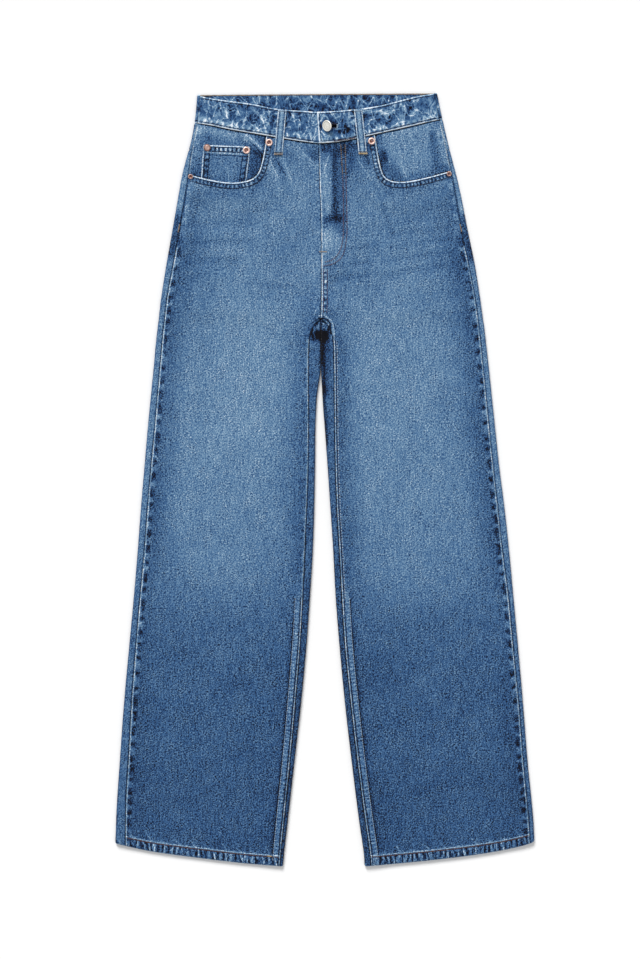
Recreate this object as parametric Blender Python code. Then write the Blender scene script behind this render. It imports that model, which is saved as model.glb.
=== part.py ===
"""Wide leg jeans in washed denim, lying flat on a table, face up.

X runs across the garment, Y from the hems to the waist, Z up from the table.
The origin is on the table, in the middle of the garment's length and width.
Working sizes are in millimetres; each mesh is written in metres.
"""

import math

import bmesh
import bpy

# Driving sizes of the cloth, in millimetres.
MM = 0.001
WALL = 1.1
SEAM_GAP = 0.3
LAYER = WALL + SEAM_GAP
MIDDLE_GAP = 0.6
EDGE_HEIGHT = 6.0
EDGE_REACH = 45.0
HEM_DEPTH = 12.0
HEM_WALL = 2.1
HEM_LEVEL = -553.5
HEM_BLEND = 170.0
BAND_WALL = 2.2
BAND_EDGE_HEIGHT = 6.6
MIDDLE_Y = -1.2
SEAT_LIFT = 1.8

# Places across the garment, in millimetres.
BACK_CENTRE = -5.5
CROTCH_Y = 230.0
YOKE_SIDE_Y = 470.0
YOKE_CENTRE_Y = 440.0
UNDER_END_X = 22.0
FLY_WIDTH = 41.0
FINE_ABOVE_Y = 265.0

# One row for each level down a leg: level, outer fold, side seam, inseam, inner fold.
LEFT_LEG = (
    (548.5, -182.0, -178.4, None, -5.65),
    (508.5, -186.0, -182.4, None, -5.65),
    (483.5, -190.5, -186.9, None, -5.65),
    (459.0, -197.0, -191.5, None, -5.65),
    (434.5, -203.5, -194.5, None, -5.65),
    (399.0, -210.0, -200.0, None, -5.65),
    (356.0, -217.5, -207.5, None, -5.65),
    (310.5, -225.5, -215.5, None, -5.65),
    (256.0, -234.0, -225.5, None, -5.65),
    (245.0, -235.3, -226.8, None, -5.65),
    (237.0, -236.2, -227.7, None, -5.65),
    (229.5, -237.0, -228.5, -5.4, -5.65),
    (225.5, -237.5, -229.0, -10.0, -5.65),
    (221.5, -238.0, -229.5, -14.0, -5.65),
    (209.0, -239.5, -231.0, -20.5, -5.65),
    (191.5, -241.5, -232.5, -23.0, -5.65),
    (165.0, -243.8, -234.8, -23.5, -5.65),
    (113.0, -249.0, -239.5, -23.5, -11.5),
    (66.0, -253.5, -243.5, -23.5, -13.5),
    (18.5, -257.5, -248.0, -24.0, -14.0),
    (-40.0, -262.5, -253.0, -26.0, -15.0),
    (-100.0, -267.0, -257.5, -28.5, -17.0),
    (-166.0, -272.5, -263.5, -31.5, -21.0),
    (-230.0, -278.5, -269.0, -35.0, -25.5),
    (-316.0, -286.5, -275.5, -42.0, -33.5),
    (-399.0, -292.5, -280.0, -49.5, -43.0),
    (-483.5, -297.0, -284.0, -58.0, -52.5),
    (-541.0, -298.8, -284.5, -63.5, -59.0),
    (-541.5, -298.8, -284.5, -63.5, -59.0),
    (-553.5, -299.0, -284.5, -64.5, -60.0),
)
RIGHT_LEG = (
    (551.0, 160.5, 156.9, None, -5.35),
    (513.5, 168.0, 164.4, None, -5.35),
    (483.5, 175.0, 171.4, None, -5.35),
    (459.0, 181.0, 176.5, None, -5.35),
    (434.5, 187.5, 181.5, None, -5.35),
    (399.0, 195.5, 188.5, None, -5.35),
    (356.0, 204.0, 195.0, None, -5.35),
    (310.5, 213.5, 204.5, None, -5.35),
    (256.0, 222.0, 215.0, None, -5.35),
    (245.0, 223.5, 216.5, None, -5.35),
    (237.0, 224.6, 217.6, None, -5.35),
    (229.5, 225.6, 218.6, -5.6, -5.35),
    (225.5, 226.2, 219.0, -0.8, -5.35),
    (221.5, 227.0, 219.5, 3.2, -5.35),
    (209.0, 228.5, 221.0, 10.0, -5.35),
    (191.5, 230.5, 223.0, 13.0, -5.35),
    (165.0, 233.5, 225.8, 13.5, -5.35),
    (113.0, 239.0, 231.0, 14.0, -3.0),
    (66.0, 244.0, 235.5, 14.5, 0.5),
    (18.5, 249.0, 240.5, 15.5, 4.0),
    (-40.0, 256.5, 247.0, 17.5, 8.0),
    (-100.0, 263.0, 253.5, 21.0, 12.0),
    (-166.0, 269.0, 262.0, 24.5, 15.5),
    (-230.0, 275.0, 268.0, 28.5, 20.5),
    (-316.0, 282.5, 276.5, 37.0, 28.5),
    (-399.0, 289.0, 283.0, 46.5, 38.0),
    (-483.5, 295.5, 289.0, 57.5, 48.5),
    (-541.0, 298.7, 292.5, 65.5, 56.5),
    (-541.5, 298.7, 292.5, 65.5, 56.5),
    (-553.5, 299.0, 293.0, 66.5, 57.5),
)

# How far the inner edge of a back panel curls up at each level of the crotch.
CURL = ((248.0, 0.0), (245.0, 0.02), (237.0, 0.16), (229.5, 0.34), (225.5, 0.66), (221.5, 1.0))

# One row for each place along the front of the waist: across, waist seam, top edge.
FRONT_WAIST = (
    (-185.5, 508.5, 549.0),
    (-163.0, 505.0, 543.5),
    (-134.0, 499.0, 539.5),
    (-104.5, 494.0, 535.5),
    (-75.0, 489.0, 529.5),
    (-54.0, 485.5, 527.0),
    (-31.0, 482.0, 525.5),
    (-7.0, 479.5, 524.0),
    (14.5, 481.0, 525.0),
    (37.5, 484.5, 527.0),
    (57.0, 489.0, 529.5),
    (81.0, 494.5, 533.5),
    (110.0, 501.0, 541.0),
    (136.0, 507.0, 547.0),
    (160.5, 512.5, 551.0),
    (168.0, 513.5, 552.0),
)
BACK_WAIST = ((-186.0, 508.5, 548.5), (-5.5, 510.0, 550.0), (168.0, 513.5, 551.0))

# The front centre edge, from the band's top down to the crotch: level, across.
FRONT_CENTRE = (
    (524.0, -11.0),
    (480.0, -8.0),
    (424.5, -7.0),
    (379.0, -5.0),
    (302.0, -4.5),
    (251.5, -4.5),
    (229.5, -5.5),
)

# The curved front pocket mouths, from the side seam to the waist seam.
LEFT_MOUTH = (
    (-194.5, 434.5),
    (-163.0, 427.0),
    (-134.0, 423.0),
    (-110.0, 426.0),
    (-97.5, 433.5),
    (-91.0, 447.0),
    (-86.0, 470.0),
    (-83.5, 490.2),
)
RIGHT_MOUTH = (
    (180.5, 440.0),
    (154.0, 432.5),
    (125.0, 426.0),
    (105.0, 424.3),
    (90.0, 428.0),
    (82.0, 438.0),
    (76.5, 460.0),
    (71.5, 492.2),
)

# The cut hems, from the outer fold to the inner fold: across, height over HEM_LEVEL.
LEFT_HEM = ((-300.0, 33.0), (-248.5, 21.5), (-175.5, 11.5), (-111.0, 4.0), (-59.5, 0.0))
RIGHT_HEM = ((57.0, 0.0), (82.0, 2.0), (167.5, 10.5), (240.5, 20.5), (294.0, 33.0), (299.0, 35.5))

# Hidden edge of each front pocket's facing, from the waist seam to the side seam.
LEFT_FACING = ((-62.0, 486.5), (-66.0, 442.0), (-80.0, 415.0), (-102.0, 402.0), (-134.0, 398.0),
               (-172.0, 405.0))
RIGHT_FACING = ((50.0, 487.0), (55.0, 442.0), (68.0, 414.0), (92.0, 402.0), (125.0, 400.0),
                (162.0, 408.0))

# The coin pocket, whose foot is hidden behind the front panel.
COIN_POCKET = ((-177.6, 424.0), (-178.0, 413.0), (-114.0, 411.0), (-112.0, 430.0), (-106.0, 474.5),
               (-173.0, 477.0))

# Where the mouth of a front pocket stands off: across, level, reach, height.
LEFT_GAPE = ((-90.0, 455.0, 14.0, 0.8),)
RIGHT_GAPE = ((80.0, 452.0, 14.0, 1.4),)

# The puckered hollow where the four leg seams cross.
CROTCH_HOLLOW = (-4.5, 204.0, 7.5, 2.6)

# Back pockets: the size of each, and its left edge across.
POCKET_TOP_Y = 412.0
POCKET_WIDTH = 136.0
POCKET_HEIGHT = 150.0
POCKET_TAPER = 9.0
POCKET_POINT = 20.0
LEFT_POCKET_X = -166.0
RIGHT_POCKET_X = 20.0

# Belt loops: middle of the top end, middle of the foot.
LOOP_WIDTH = 12.0
LOOP_WALL = 1.5
FRONT_LOOPS = (("belt_loop_front_left", (-60.5, 527.0), (-66.5, 462.0)),
               ("belt_loop_front_right", (47.5, 527.0), (54.5, 463.0)))
BACK_LOOPS = (("belt_loop_back_left", -104.0), ("belt_loop_back_middle", -5.5),
              ("belt_loop_back_right", 92.0))
BACK_LOOP_FOOT = 20.0

# Metal: the shank button and the six rivets.
BUTTON_PLACE = (3.6, 503.5)
BUTTON_RADIUS = 8.4
BUTTON_TILT = math.radians(12.0)
SHANK_RADIUS = 1.6
SLOT_HALF = 1.95
SLOT_ENDS = (1.3, 15.5)
RIVET_RADIUS = 4.8
RIVET_HEIGHT = 1.7
RIVETS = (
    ("rivet_coin_left", (-168.0, 473.0)),
    ("rivet_coin_right", (-112.0, 469.5)),
    ("rivet_left_mouth_top", (-79.5, 480.5)),
    ("rivet_left_mouth_foot", (-191.5, 431.5)),
    ("rivet_right_mouth_top", (67.0, 482.5)),
    ("rivet_right_mouth_foot", (177.5, 435.5)),
)

# Colours of the finishes: linear red, green, blue.
DENIM = (0.11, 0.21, 0.35)
DENIM_BACK = (0.08, 0.16, 0.30)
DENIM_INSIDE = (0.09, 0.16, 0.28)
COPPER = (0.62, 0.30, 0.20)
SILVER = (0.74, 0.71, 0.62)


def read_line(rows, place, column=1):
    """Value of one column at a place, straight between rows."""
    ordered = sorted(rows, key=lambda row: row[0])
    if place <= ordered[0][0]:
        return ordered[0][column]
    for low, high in zip(ordered, ordered[1:]):
        if place <= high[0]:
            share = (place - low[0]) / (high[0] - low[0])
            return low[column] + (high[column] - low[column]) * share
    return ordered[-1][column]


def fade(value, start, end):
    """Smooth step from 0 at start to 1 at end."""
    share = min(max((value - start) / (end - start), 0.0), 1.0)
    return share * share * (3.0 - 2.0 * share)


def smooth_curve(points, steps):
    """Points on a smooth curve through the given points."""
    curve = []
    count = len(points)
    for index in range(count - 1):
        before = points[max(index - 1, 0)]
        start = points[index]
        end = points[index + 1]
        after = points[min(index + 2, count - 1)]
        for step in range(steps):
            t = step / steps
            curve.append(tuple(
                0.5 * (2.0 * b + (c - a) * t + (2.0 * a - 5.0 * b + 4.0 * c - d) * t * t
                       + (3.0 * b - a - 3.0 * c + d) * t * t * t)
                for a, b, c, d in zip(before, start, end, after)))
    curve.append(points[-1])
    return curve


def depth_inside(outline, x, y):
    """Distance to the outline, positive inside it."""
    nearest = 1.0e9
    inside = False
    for (x0, y0), (x1, y1) in zip(outline, outline[1:] + outline[:1]):
        along_x = x1 - x0
        along_y = y1 - y0
        length = along_x * along_x + along_y * along_y
        share = min(max(((x - x0) * along_x + (y - y0) * along_y) / length, 0.0), 1.0)
        nearest = min(nearest, math.hypot(x - x0 - along_x * share, y - y0 - along_y * share))
        if (y0 > y) != (y1 > y) and x < x0 + (y - y0) * along_x / along_y:
            inside = not inside
    return nearest if inside else -nearest


def bump(spot, x, y):
    """A soft round rise: middle across, middle level, reach, height."""
    middle_x, middle_y, reach, height = spot
    return height * math.exp(-((x - middle_x) ** 2 + (y - middle_y) ** 2) / reach ** 2)


class Leg:
    """One side of the garment, read from its table of levels."""

    def __init__(self, rows, outward, mouth, hidden_edge, gapes):
        self.rows = rows
        self.outward = outward
        self.mouth = smooth_curve(mouth, 3)
        self.hidden_edge = list(hidden_edge)
        self.gapes = gapes
        self.inseam_rows = [row for row in rows if row[3] is not None]
        self.facing = facing_outline(self)

    def outer_fold(self, y):
        return read_line(self.rows, y, 1)

    def side_seam(self, y):
        return read_line(self.rows, y, 2)

    def inseam(self, y):
        return read_line(self.inseam_rows, y, 3)

    def inner_fold(self, y):
        return read_line(self.rows, y, 4)


def seat_lift(leg, x, y):
    """Height of the seat over the table, where it lies on the back pockets and loops."""
    from_fold = abs(x - leg.outer_fold(y))
    return SEAT_LIFT * fade(from_fold, 7.0, 28.0) * fade(y, 213.0, 246.0)


def edge_share(leg, x, y):
    """1 at a folded edge of the leg, 0 where the layers lie on each other."""
    from_fold = abs(x - leg.outer_fold(y))
    if y < CROTCH_Y:
        from_inner = abs(x - leg.inner_fold(y))
    else:
        from_inner = math.hypot(x - BACK_CENTRE, y - CROTCH_Y)
    return 1.0 - fade(min(from_fold, from_inner), 4.0, EDGE_REACH)


def wall_at(y):
    return HEM_WALL if y < HEM_LEVEL + HEM_DEPTH + 0.25 else WALL


def upper_face(leg, x, y):
    """Upper face of a leg's top layer of cloth."""
    middle = 2.0 * WALL + MIDDLE_GAP + 2.0 * (HEM_WALL - WALL) * fade(y, -482.0, -532.0)
    share = edge_share(leg, x, y)
    hollow = bump(CROTCH_HOLLOW, x, y) if y < CROTCH_Y - 5.0 else 0.0
    return seat_lift(leg, x, y) + middle + (EDGE_HEIGHT - middle) * share - hollow


def band_face(leg, x, y):
    """Upper face of the front waistband where it lies in one layer."""
    from_fold = abs(x - leg.outer_fold(y))
    middle = 2.0 * BAND_WALL + MIDDLE_GAP
    share = 1.0 - fade(from_fold, 4.0, EDGE_REACH)
    return seat_lift(leg, x, y) + middle + (BAND_EDGE_HEIGHT - middle) * share


def front_face(leg, x, y):
    """Upper face of a front panel, over the pocket facing, coin pocket or fly."""
    height = upper_face(leg, x, y)
    height += LAYER * fade(depth_inside(leg.facing, x, y), -26.0, -9.0)
    if leg.outward < 0:
        height += LAYER * fade(depth_inside(list(COIN_POCKET), x, y), -24.0, -9.0)
    else:
        height += LAYER * fade(depth_inside(fly_outline(), x, y), -24.0, -8.0)
    for spot in leg.gapes:
        height += bump(spot, x, y)
    return height


def band_end_face(leg, x, y):
    """Upper face of the buttonhole end, which lies over the button end."""
    over = 1.0 - fade(x, UNDER_END_X + 5.0, UNDER_END_X + 42.0)
    return band_face(leg, x, y) + (BAND_WALL + SEAM_GAP) * over


def waist_seam(x):
    return read_line(FRONT_WAIST, x, 1)


def facing_outline(leg):
    """The piece of denim that shows inside a front pocket's mouth."""
    out = leg.outward
    inset = SEAM_GAP + 0.1
    levels = [row[0] for row in leg.rows if 440.0 < row[0] < waist_seam(leg.side_seam(row[0])) - 4.0]
    levels = levels + [430.0]
    top_x = leg.side_seam(waist_seam(leg.side_seam(510.0))) - out * inset
    edge = [(top_x, waist_seam(top_x) - SEAM_GAP)]
    edge += [(leg.side_seam(y) - out * inset, y) for y in levels]
    hidden = list(reversed(leg.hidden_edge))
    inner_x = leg.hidden_edge[0][0]
    hidden[-1] = (inner_x, waist_seam(inner_x) - SEAM_GAP)
    waist = [(row[0], row[1] - SEAM_GAP) for row in FRONT_WAIST
             if min(abs(inner_x), abs(top_x)) + 2.0 < row[0] * out < max(abs(inner_x), abs(top_x)) - 2.0]
    waist.sort(key=lambda point: point[0] * out)
    return edge + hidden + waist


def front_outline(leg):
    """A front leg panel, round from the pocket mouth to the waist seam."""
    out = leg.outward
    foot = leg.mouth[0]
    side = [(leg.side_seam(foot[1]) - out * SEAM_GAP, foot[1])]
    side += [(row[2] - out * SEAM_GAP, row[0]) for row in leg.rows if row[0] < foot[1] - 2.0]
    inner = [(row[3] + out * SEAM_GAP, row[0]) for row in reversed(leg.inseam_rows)]
    centre_gap = -SEAM_GAP if out < 0 else 0.0
    top = waist_seam(FRONT_CENTRE[1][1])
    centre = [(row[1] + centre_gap, row[0]) for row in reversed(FRONT_CENTRE[2:-1])]
    centre.append((FRONT_CENTRE[1][1] + centre_gap, top - SEAM_GAP))
    last = leg.mouth[-1][0]
    waist = [(row[0], row[1] - SEAM_GAP) for row in FRONT_WAIST
             if min(last, -5.0) + 2.0 < row[0] < max(last, -10.0) - 2.0 and abs(row[0] + 7.0) > 5.0]
    waist.sort(key=lambda point: point[0] * out)
    mouth = [(leg.mouth[-1][0], waist_seam(leg.mouth[-1][0]) - SEAM_GAP)]
    mouth += list(reversed(leg.mouth[1:-1]))
    return side + inner + centre + waist + mouth


def fly_outline():
    """The shield behind the fly, from the centre edge to the outer row of stitching."""
    left = [(read_line(FRONT_CENTRE, y) + SEAM_GAP, y) for y in (478.0, 424.5, 379.0, 330.0, 304.0)]
    foot = [(6.0, 302.0), (20.0, 311.0), (30.0, 325.0), (35.0, 345.0), (FLY_WIDTH - 5.0, 400.0)]
    top = [(FLY_WIDTH - 10.0, waist_seam(31.0) - SEAM_GAP), (14.5, waist_seam(14.5) - SEAM_GAP)]
    left[0] = (left[0][0], waist_seam(left[0][0]) - SEAM_GAP)
    return left + foot + top


def hem_raise(x, y):
    """How far the slanting hem draws the cloth up, fading out up the leg."""
    curve = LEFT_HEM if x < BACK_CENTRE else RIGHT_HEM
    share = 1.0 - fade(y, HEM_LEVEL, HEM_LEVEL + HEM_BLEND)
    return read_line(curve, x) * share


def finish_mesh(name, mesh, colour, roughness=0.9, metallic=0.0, smooth=True):
    """Write a mesh given in millimetres as a named object with its finish."""
    for vertex in mesh.verts:
        x, y, z = vertex.co
        vertex.co = (x * MM, (y + hem_raise(x, y) - MIDDLE_Y) * MM, z * MM)
    bmesh.ops.recalc_face_normals(mesh, faces=mesh.faces)
    data = bpy.data.meshes.new(name)
    mesh.to_mesh(data)
    mesh.free()
    if smooth:
        data.shade_smooth()
        data.set_sharp_from_angle(angle=math.radians(40.0))
    piece = bpy.data.objects.new(name, data)
    bpy.context.scene.collection.objects.link(piece)
    data.materials.append(finish(name, colour, roughness, metallic))
    return piece


def finish(name, colour, roughness, metallic):
    material = bpy.data.materials.new(name)
    material.use_nodes = True
    shader = material.node_tree.nodes["Principled BSDF"]
    shader.inputs["Base Color"].default_value = (*colour, 1.0)
    shader.inputs["Roughness"].default_value = roughness
    shader.inputs["Metallic"].default_value = metallic
    return material


def cut_lines(mesh, lines, axis, above=None):
    """Cut the flat cloth along straight lines, so that it can follow its folds."""
    normal = (1.0, 0.0, 0.0) if axis == 0 else (0.0, 1.0, 0.0)
    for line in lines:
        faces = [face for face in mesh.faces if above is None or face.calc_center_median().y > above]
        edges = {edge for face in faces for edge in face.edges}
        verts = {vert for face in faces for vert in face.verts}
        place = (line, 0.0, 0.0) if axis == 0 else (0.0, line, 0.0)
        bmesh.ops.bisect_plane(mesh, geom=list(verts) + list(edges) + faces, dist=0.02,
                               plane_co=place, plane_no=normal)


def spaced(start, end, step):
    """Even places from start to end, about a step apart, without the ends."""
    count = max(int(round(abs(end - start) / step)), 1)
    return [start + (end - start) * index / count for index in range(1, count)]


def cloth(name, outline, face, wall, across, along, colour, fine=None):
    """A panel of cloth: its outline, cut into cells, laid on its upper face.

    face(x, y) is the height of the upper face and wall(y) the thickness under it.
    """
    mesh = bmesh.new()
    mesh.faces.new([mesh.verts.new((x, y, 0.0)) for x, y in outline])
    cut_lines(mesh, along, 1)
    cut_lines(mesh, across, 0)
    if fine:
        cut_lines(mesh, fine[0], 0, fine[1])
    lower = mesh.verts[:]
    extruded = bmesh.ops.extrude_face_region(mesh, geom=mesh.faces[:])
    upper = [item for item in extruded["geom"] if isinstance(item, bmesh.types.BMVert)]
    for vertex in lower:
        vertex.co.z = face(vertex.co.x, vertex.co.y) - wall(vertex.co.y)
    for vertex in upper:
        vertex.co.z = face(vertex.co.x, vertex.co.y)
    return finish_mesh(name, mesh, colour)


def strip_points(start, end, count):
    return [start + (end - start) * index / count for index in range(count)]


def back_section(leg, side_y, centre_y, wall):
    """Outer and inner face of a back piece, from its side seam round to its inner edge.

    Each point is (across, level, height). The piece folds round the outer edge and,
    below the crotch, round the inner edge too.
    """
    out = leg.outward
    radius = EDGE_HEIGHT / 2.0
    fold = leg.outer_fold(side_y)
    seam = leg.side_seam(side_y)
    edge = leg.inner_fold(side_y)
    curl = read_line(CURL, side_y)
    path = []
    for x in strip_points(seam, fold - out * radius, 2):
        path.append((x, None, (0.0, 1.0)))
    for step in range(7):
        angle = math.pi * step / 6.0
        side = out * math.sin(angle)
        rise = math.cos(angle)
        path.append((fold - out * radius + side * radius, radius + rise * radius, (side, rise)))
    inner = inner_edge(leg, side_y, radius, curl, edge)
    start = path[-1][0]
    for index in range(1, 10):
        x = start + (inner[0][0] - start) * index / 10.0
        path.append((x, 0.0, (0.0, -1.0)))
    path += inner
    outer_face = []
    inner_face = []
    for x, z, normal in path:
        share = (x - fold) / (edge - fold)
        y = side_y + (centre_y - side_y) * min(max(share, 0.0), 1.0)
        lift = seat_lift(leg, x, y)
        level = upper_face(leg, x, y) if z is None else z + lift
        outer_face.append((x, y, level))
        inner_face.append((x - normal[0] * wall, y, level - normal[1] * wall))
    return outer_face, inner_face


def inner_edge(leg, y, radius, curl, edge):
    """The inner end of a back section: flat over the seat, curled round below the crotch."""
    out = leg.outward
    flat = (1.0 - curl) * math.pi * radius
    turn = curl * math.pi
    reach = radius * math.sin(min(turn, math.pi / 2.0))
    bend = edge + out * reach
    points = [(bend + out * flat, 0.0, (0.0, -1.0)), (bend + out * flat * 0.5, 0.0, (0.0, -1.0))]
    if curl > 0.99:
        points[1] = (bend + out * 1.5, 0.0, (0.0, -1.0))
        points[0] = (bend + out * 3.0, 0.0, (0.0, -1.0))
    for step in range(7):
        angle = turn * step / 6.0
        side = -out * math.sin(angle)
        drop = -math.cos(angle)
        x = bend + side * radius
        z = radius + drop * radius
        if turn < 0.05:
            x = bend - out * 0.05 * step
        points.append((x, z, (side, drop)))
    if curl > 0.99:
        top = leg.inseam(y)
        start = bend + out * 0.4
        points += [(x, None, (0.0, 1.0)) for x in (start + (top - start) * 0.5, top)]
    else:
        x, z, normal = points[-1]
        forward = (-out * math.cos(turn), math.sin(turn))
        for step in (0.35, 0.7):
            points.append((x + forward[0] * step, z + forward[1] * step, normal))
        over = max(-out * (point[0] - edge) for point in points)
        if over > 0.0:
            points = [(x + out * over, z, normal) for x, z, normal in points]
    return points


def folded_cloth(name, sections, colour):
    """A wall of cloth through a row of sections, each an outer and an inner face."""
    mesh = bmesh.new()
    rings = [[[mesh.verts.new(point) for point in face] for face in section] for section in sections]
    for first, second in zip(rings, rings[1:]):
        for face in (0, 1):
            for index in range(len(first[face]) - 1):
                mesh.faces.new((first[face][index], first[face][index + 1],
                                second[face][index + 1], second[face][index]))
        for index in (0, -1):
            mesh.faces.new((first[0][index], second[0][index], second[1][index], first[1][index]))
    for ring in (rings[0], rings[-1]):
        for index in range(len(ring[0]) - 1):
            mesh.faces.new((ring[0][index], ring[0][index + 1], ring[1][index + 1], ring[1][index]))
    return finish_mesh(name, mesh, colour)


def build_front(name, leg):
    along = spaced(500.0, 260.0, 12.0) + [260.0, 245.0]
    along += [row[0] for row in leg.rows if HEM_LEVEL < row[0] < 230.0]
    across = spaced(leg.outward * 300.0, 0.0, 25.0)
    fine = spaced(leg.outward * 212.5, leg.outward * 12.5, 25.0) + [leg.outward * 12.5]
    cloth(name, front_outline(leg), lambda x, y: front_face(leg, x, y), wall_at,
          across, along, DENIM, fine=(fine, FINE_ABOVE_Y))


def build_back(name, leg):
    levels = [(row[0], row[0]) for row in leg.rows if row[0] < 380.0]
    levels = [(YOKE_SIDE_Y - SEAM_GAP, YOKE_CENTRE_Y - SEAM_GAP), (459.0, 432.0), (434.5, 414.0),
              (399.0, 392.0)] + levels
    sections = [back_section(leg, side, centre, wall_at(side)) for side, centre in levels]
    folded_cloth(name, sections, DENIM_BACK)


def build_yoke(name, leg):
    waist = read_line(BACK_WAIST, leg.outer_fold(508.5), 1) - SEAM_GAP
    centre = read_line(BACK_WAIST, BACK_CENTRE, 1) - SEAM_GAP
    levels = ((waist, centre), (483.5, 470.0), (YOKE_SIDE_Y, YOKE_CENTRE_Y))
    sections = [back_section(leg, side, middle, WALL) for side, middle in levels]
    folded_cloth(name, sections, DENIM_BACK)


def back_band_section(legs, share):
    """One section of the back waistband, folded round both sides of the waist."""
    faces = ([], [])
    radius = BAND_EDGE_HEIGHT / 2.0
    path = []
    for leg in legs:
        out = leg.outward
        row = BACK_WAIST[0] if out < 0 else BACK_WAIST[-1]
        side_y = row[1] + (row[2] - row[1]) * share
        fold = leg.outer_fold(side_y)
        half = [(leg, fold - out * (radius + 0.6), None, (0.0, 1.0))]
        for step in range(7):
            angle = math.pi * step / 6.0
            side = out * math.sin(angle)
            rise = math.cos(angle)
            half.append((leg, fold - out * radius + side * radius, radius + rise * radius, (side, rise)))
        half += [(leg, x, 0.0, (0.0, -1.0)) for x in spaced(half[-1][1], BACK_CENTRE, 15.0)]
        if out < 0:
            path += half + [(leg, BACK_CENTRE, 0.0, (0.0, -1.0))]
        else:
            path += reversed(half)
    for leg, x, z, normal in path:
        low = read_line(BACK_WAIST, x, 1)
        y = low + share * (read_line(BACK_WAIST, x, 2) - low)
        level = band_face(leg, x, y) if z is None else z + seat_lift(leg, x, y)
        faces[0].append((x, y, level))
        faces[1].append((x - normal[0] * BAND_WALL, y, level - normal[1] * BAND_WALL))
    return faces


def band_outline(start, end):
    """Outline of a front waistband piece between two slanting ends."""
    rows = [row for row in FRONT_WAIST if start[0] + 3.0 < row[0] < end[0] - 3.0]
    rows = [row for row in rows if start[1] + 3.0 < row[0] < end[1] - 3.0]
    lower = [(start[0], waist_seam(start[0]))] + [(row[0], row[1]) for row in rows]
    lower.append((end[0], waist_seam(end[0])))
    upper = [(end[1], read_line(FRONT_WAIST, end[1], 2))] + [(row[0], row[2]) for row in reversed(rows)]
    upper.append((start[1], read_line(FRONT_WAIST, start[1], 2)))
    return lower + upper


def build_waistband(left, right):
    sections = [back_band_section((left, right), share) for share in (0.0, 0.33, 0.67, 1.0)]
    folded_cloth("waistband_back", sections, DENIM_INSIDE)
    radius = BAND_EDGE_HEIGHT / 2.0 + 0.6 + SEAM_GAP
    along = spaced(560.0, 470.0, 13.0)
    outline = band_outline((-186.0 + radius, -182.0 + radius), (UNDER_END_X, UNDER_END_X))
    cloth("waistband_front_left", outline, lambda x, y: band_face(left, x, y),
          lambda y: BAND_WALL, spaced(-185.0, 30.0, 13.0), along, DENIM)
    outline = band_outline((FRONT_CENTRE[1][1], FRONT_CENTRE[0][1]), (167.6 - radius, 160.6 - radius))
    band = cloth("waistband_front_right", outline, lambda x, y: band_end_face(right, x, y),
                 lambda y: BAND_WALL, spaced(-12.0, 175.0, 11.0), along, DENIM)
    cut = band.modifiers.new("buttonhole", "BOOLEAN")
    cut.operation = "DIFFERENCE"
    cut.object = buttonhole_cutter()


def buttonhole_cutter():
    """A slot with round ends, through the buttonhole end of the band."""
    mesh = bmesh.new()
    level = BUTTON_PLACE[1]
    outline = []
    for middle, start in ((SLOT_ENDS[1], -90.0), (SLOT_ENDS[0], 90.0)):
        for step in range(9):
            angle = math.radians(start + 22.5 * step)
            outline.append((middle + SLOT_HALF * math.cos(angle), level + SLOT_HALF * math.sin(angle)))
    face = mesh.faces.new([mesh.verts.new((x, y, 4.0)) for x, y in outline])
    extruded = bmesh.ops.extrude_face_region(mesh, geom=[face])
    top = [item for item in extruded["geom"] if isinstance(item, bmesh.types.BMVert)]
    bmesh.ops.translate(mesh, verts=top, vec=(0.0, 0.0, 12.0))
    cutter = finish_mesh("buttonhole_cutter", mesh, DENIM, smooth=False)
    cutter.hide_render = True
    cutter.display_type = "WIRE"
    return cutter


def build_pocket_facings(left, right):
    along = spaced(510.0, 395.0, 12.0)
    for name, leg in (("pocket_facing_left", left), ("pocket_facing_right", right)):
        cloth(name, leg.facing, lambda x, y, leg=leg: upper_face(leg, x, y), lambda y: WALL,
              spaced(leg.outward * 190.0, leg.outward * 46.0, 12.0), along, DENIM)
    cloth("coin_pocket", list(COIN_POCKET), lambda x, y: upper_face(left, x, y) + LAYER,
          lambda y: WALL, spaced(-180.0, -105.0, 12.0), spaced(485.0, 405.0, 12.0), DENIM)


def build_fly(right):
    cloth("fly_shield", fly_outline(), lambda x, y: upper_face(right, x, y), lambda y: WALL,
          spaced(-10.0, 40.0, 12.0), spaced(490.0, 300.0, 24.0), DENIM)


def back_pocket_outline(start):
    inner = start + POCKET_WIDTH
    low = POCKET_TOP_Y - POCKET_HEIGHT + POCKET_POINT
    middle = start + POCKET_WIDTH / 2.0
    return [(start, POCKET_TOP_Y), (start + POCKET_TAPER, low), (middle, low - POCKET_POINT),
            (inner - POCKET_TAPER, low), (inner, POCKET_TOP_Y)]


def build_back_pockets():
    for name, start in (("back_pocket_left", LEFT_POCKET_X), ("back_pocket_right", RIGHT_POCKET_X)):
        cloth(name, back_pocket_outline(start), lambda x, y: SEAT_LIFT - SEAM_GAP,
              lambda y: SEAT_LIFT - SEAM_GAP, [], [], DENIM_BACK)


def loop_face(leg, x, y):
    """Upper face of a front belt loop, from the band down onto the front panel."""
    band = band_face(leg, x, y) if leg.outward < 0 else band_end_face(leg, x, y)
    panel = front_face(leg, x, y)
    share = fade(y, waist_seam(x) - 10.0, waist_seam(x) - 1.5)
    return panel + (band - panel) * share + SEAM_GAP + LOOP_WALL


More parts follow.
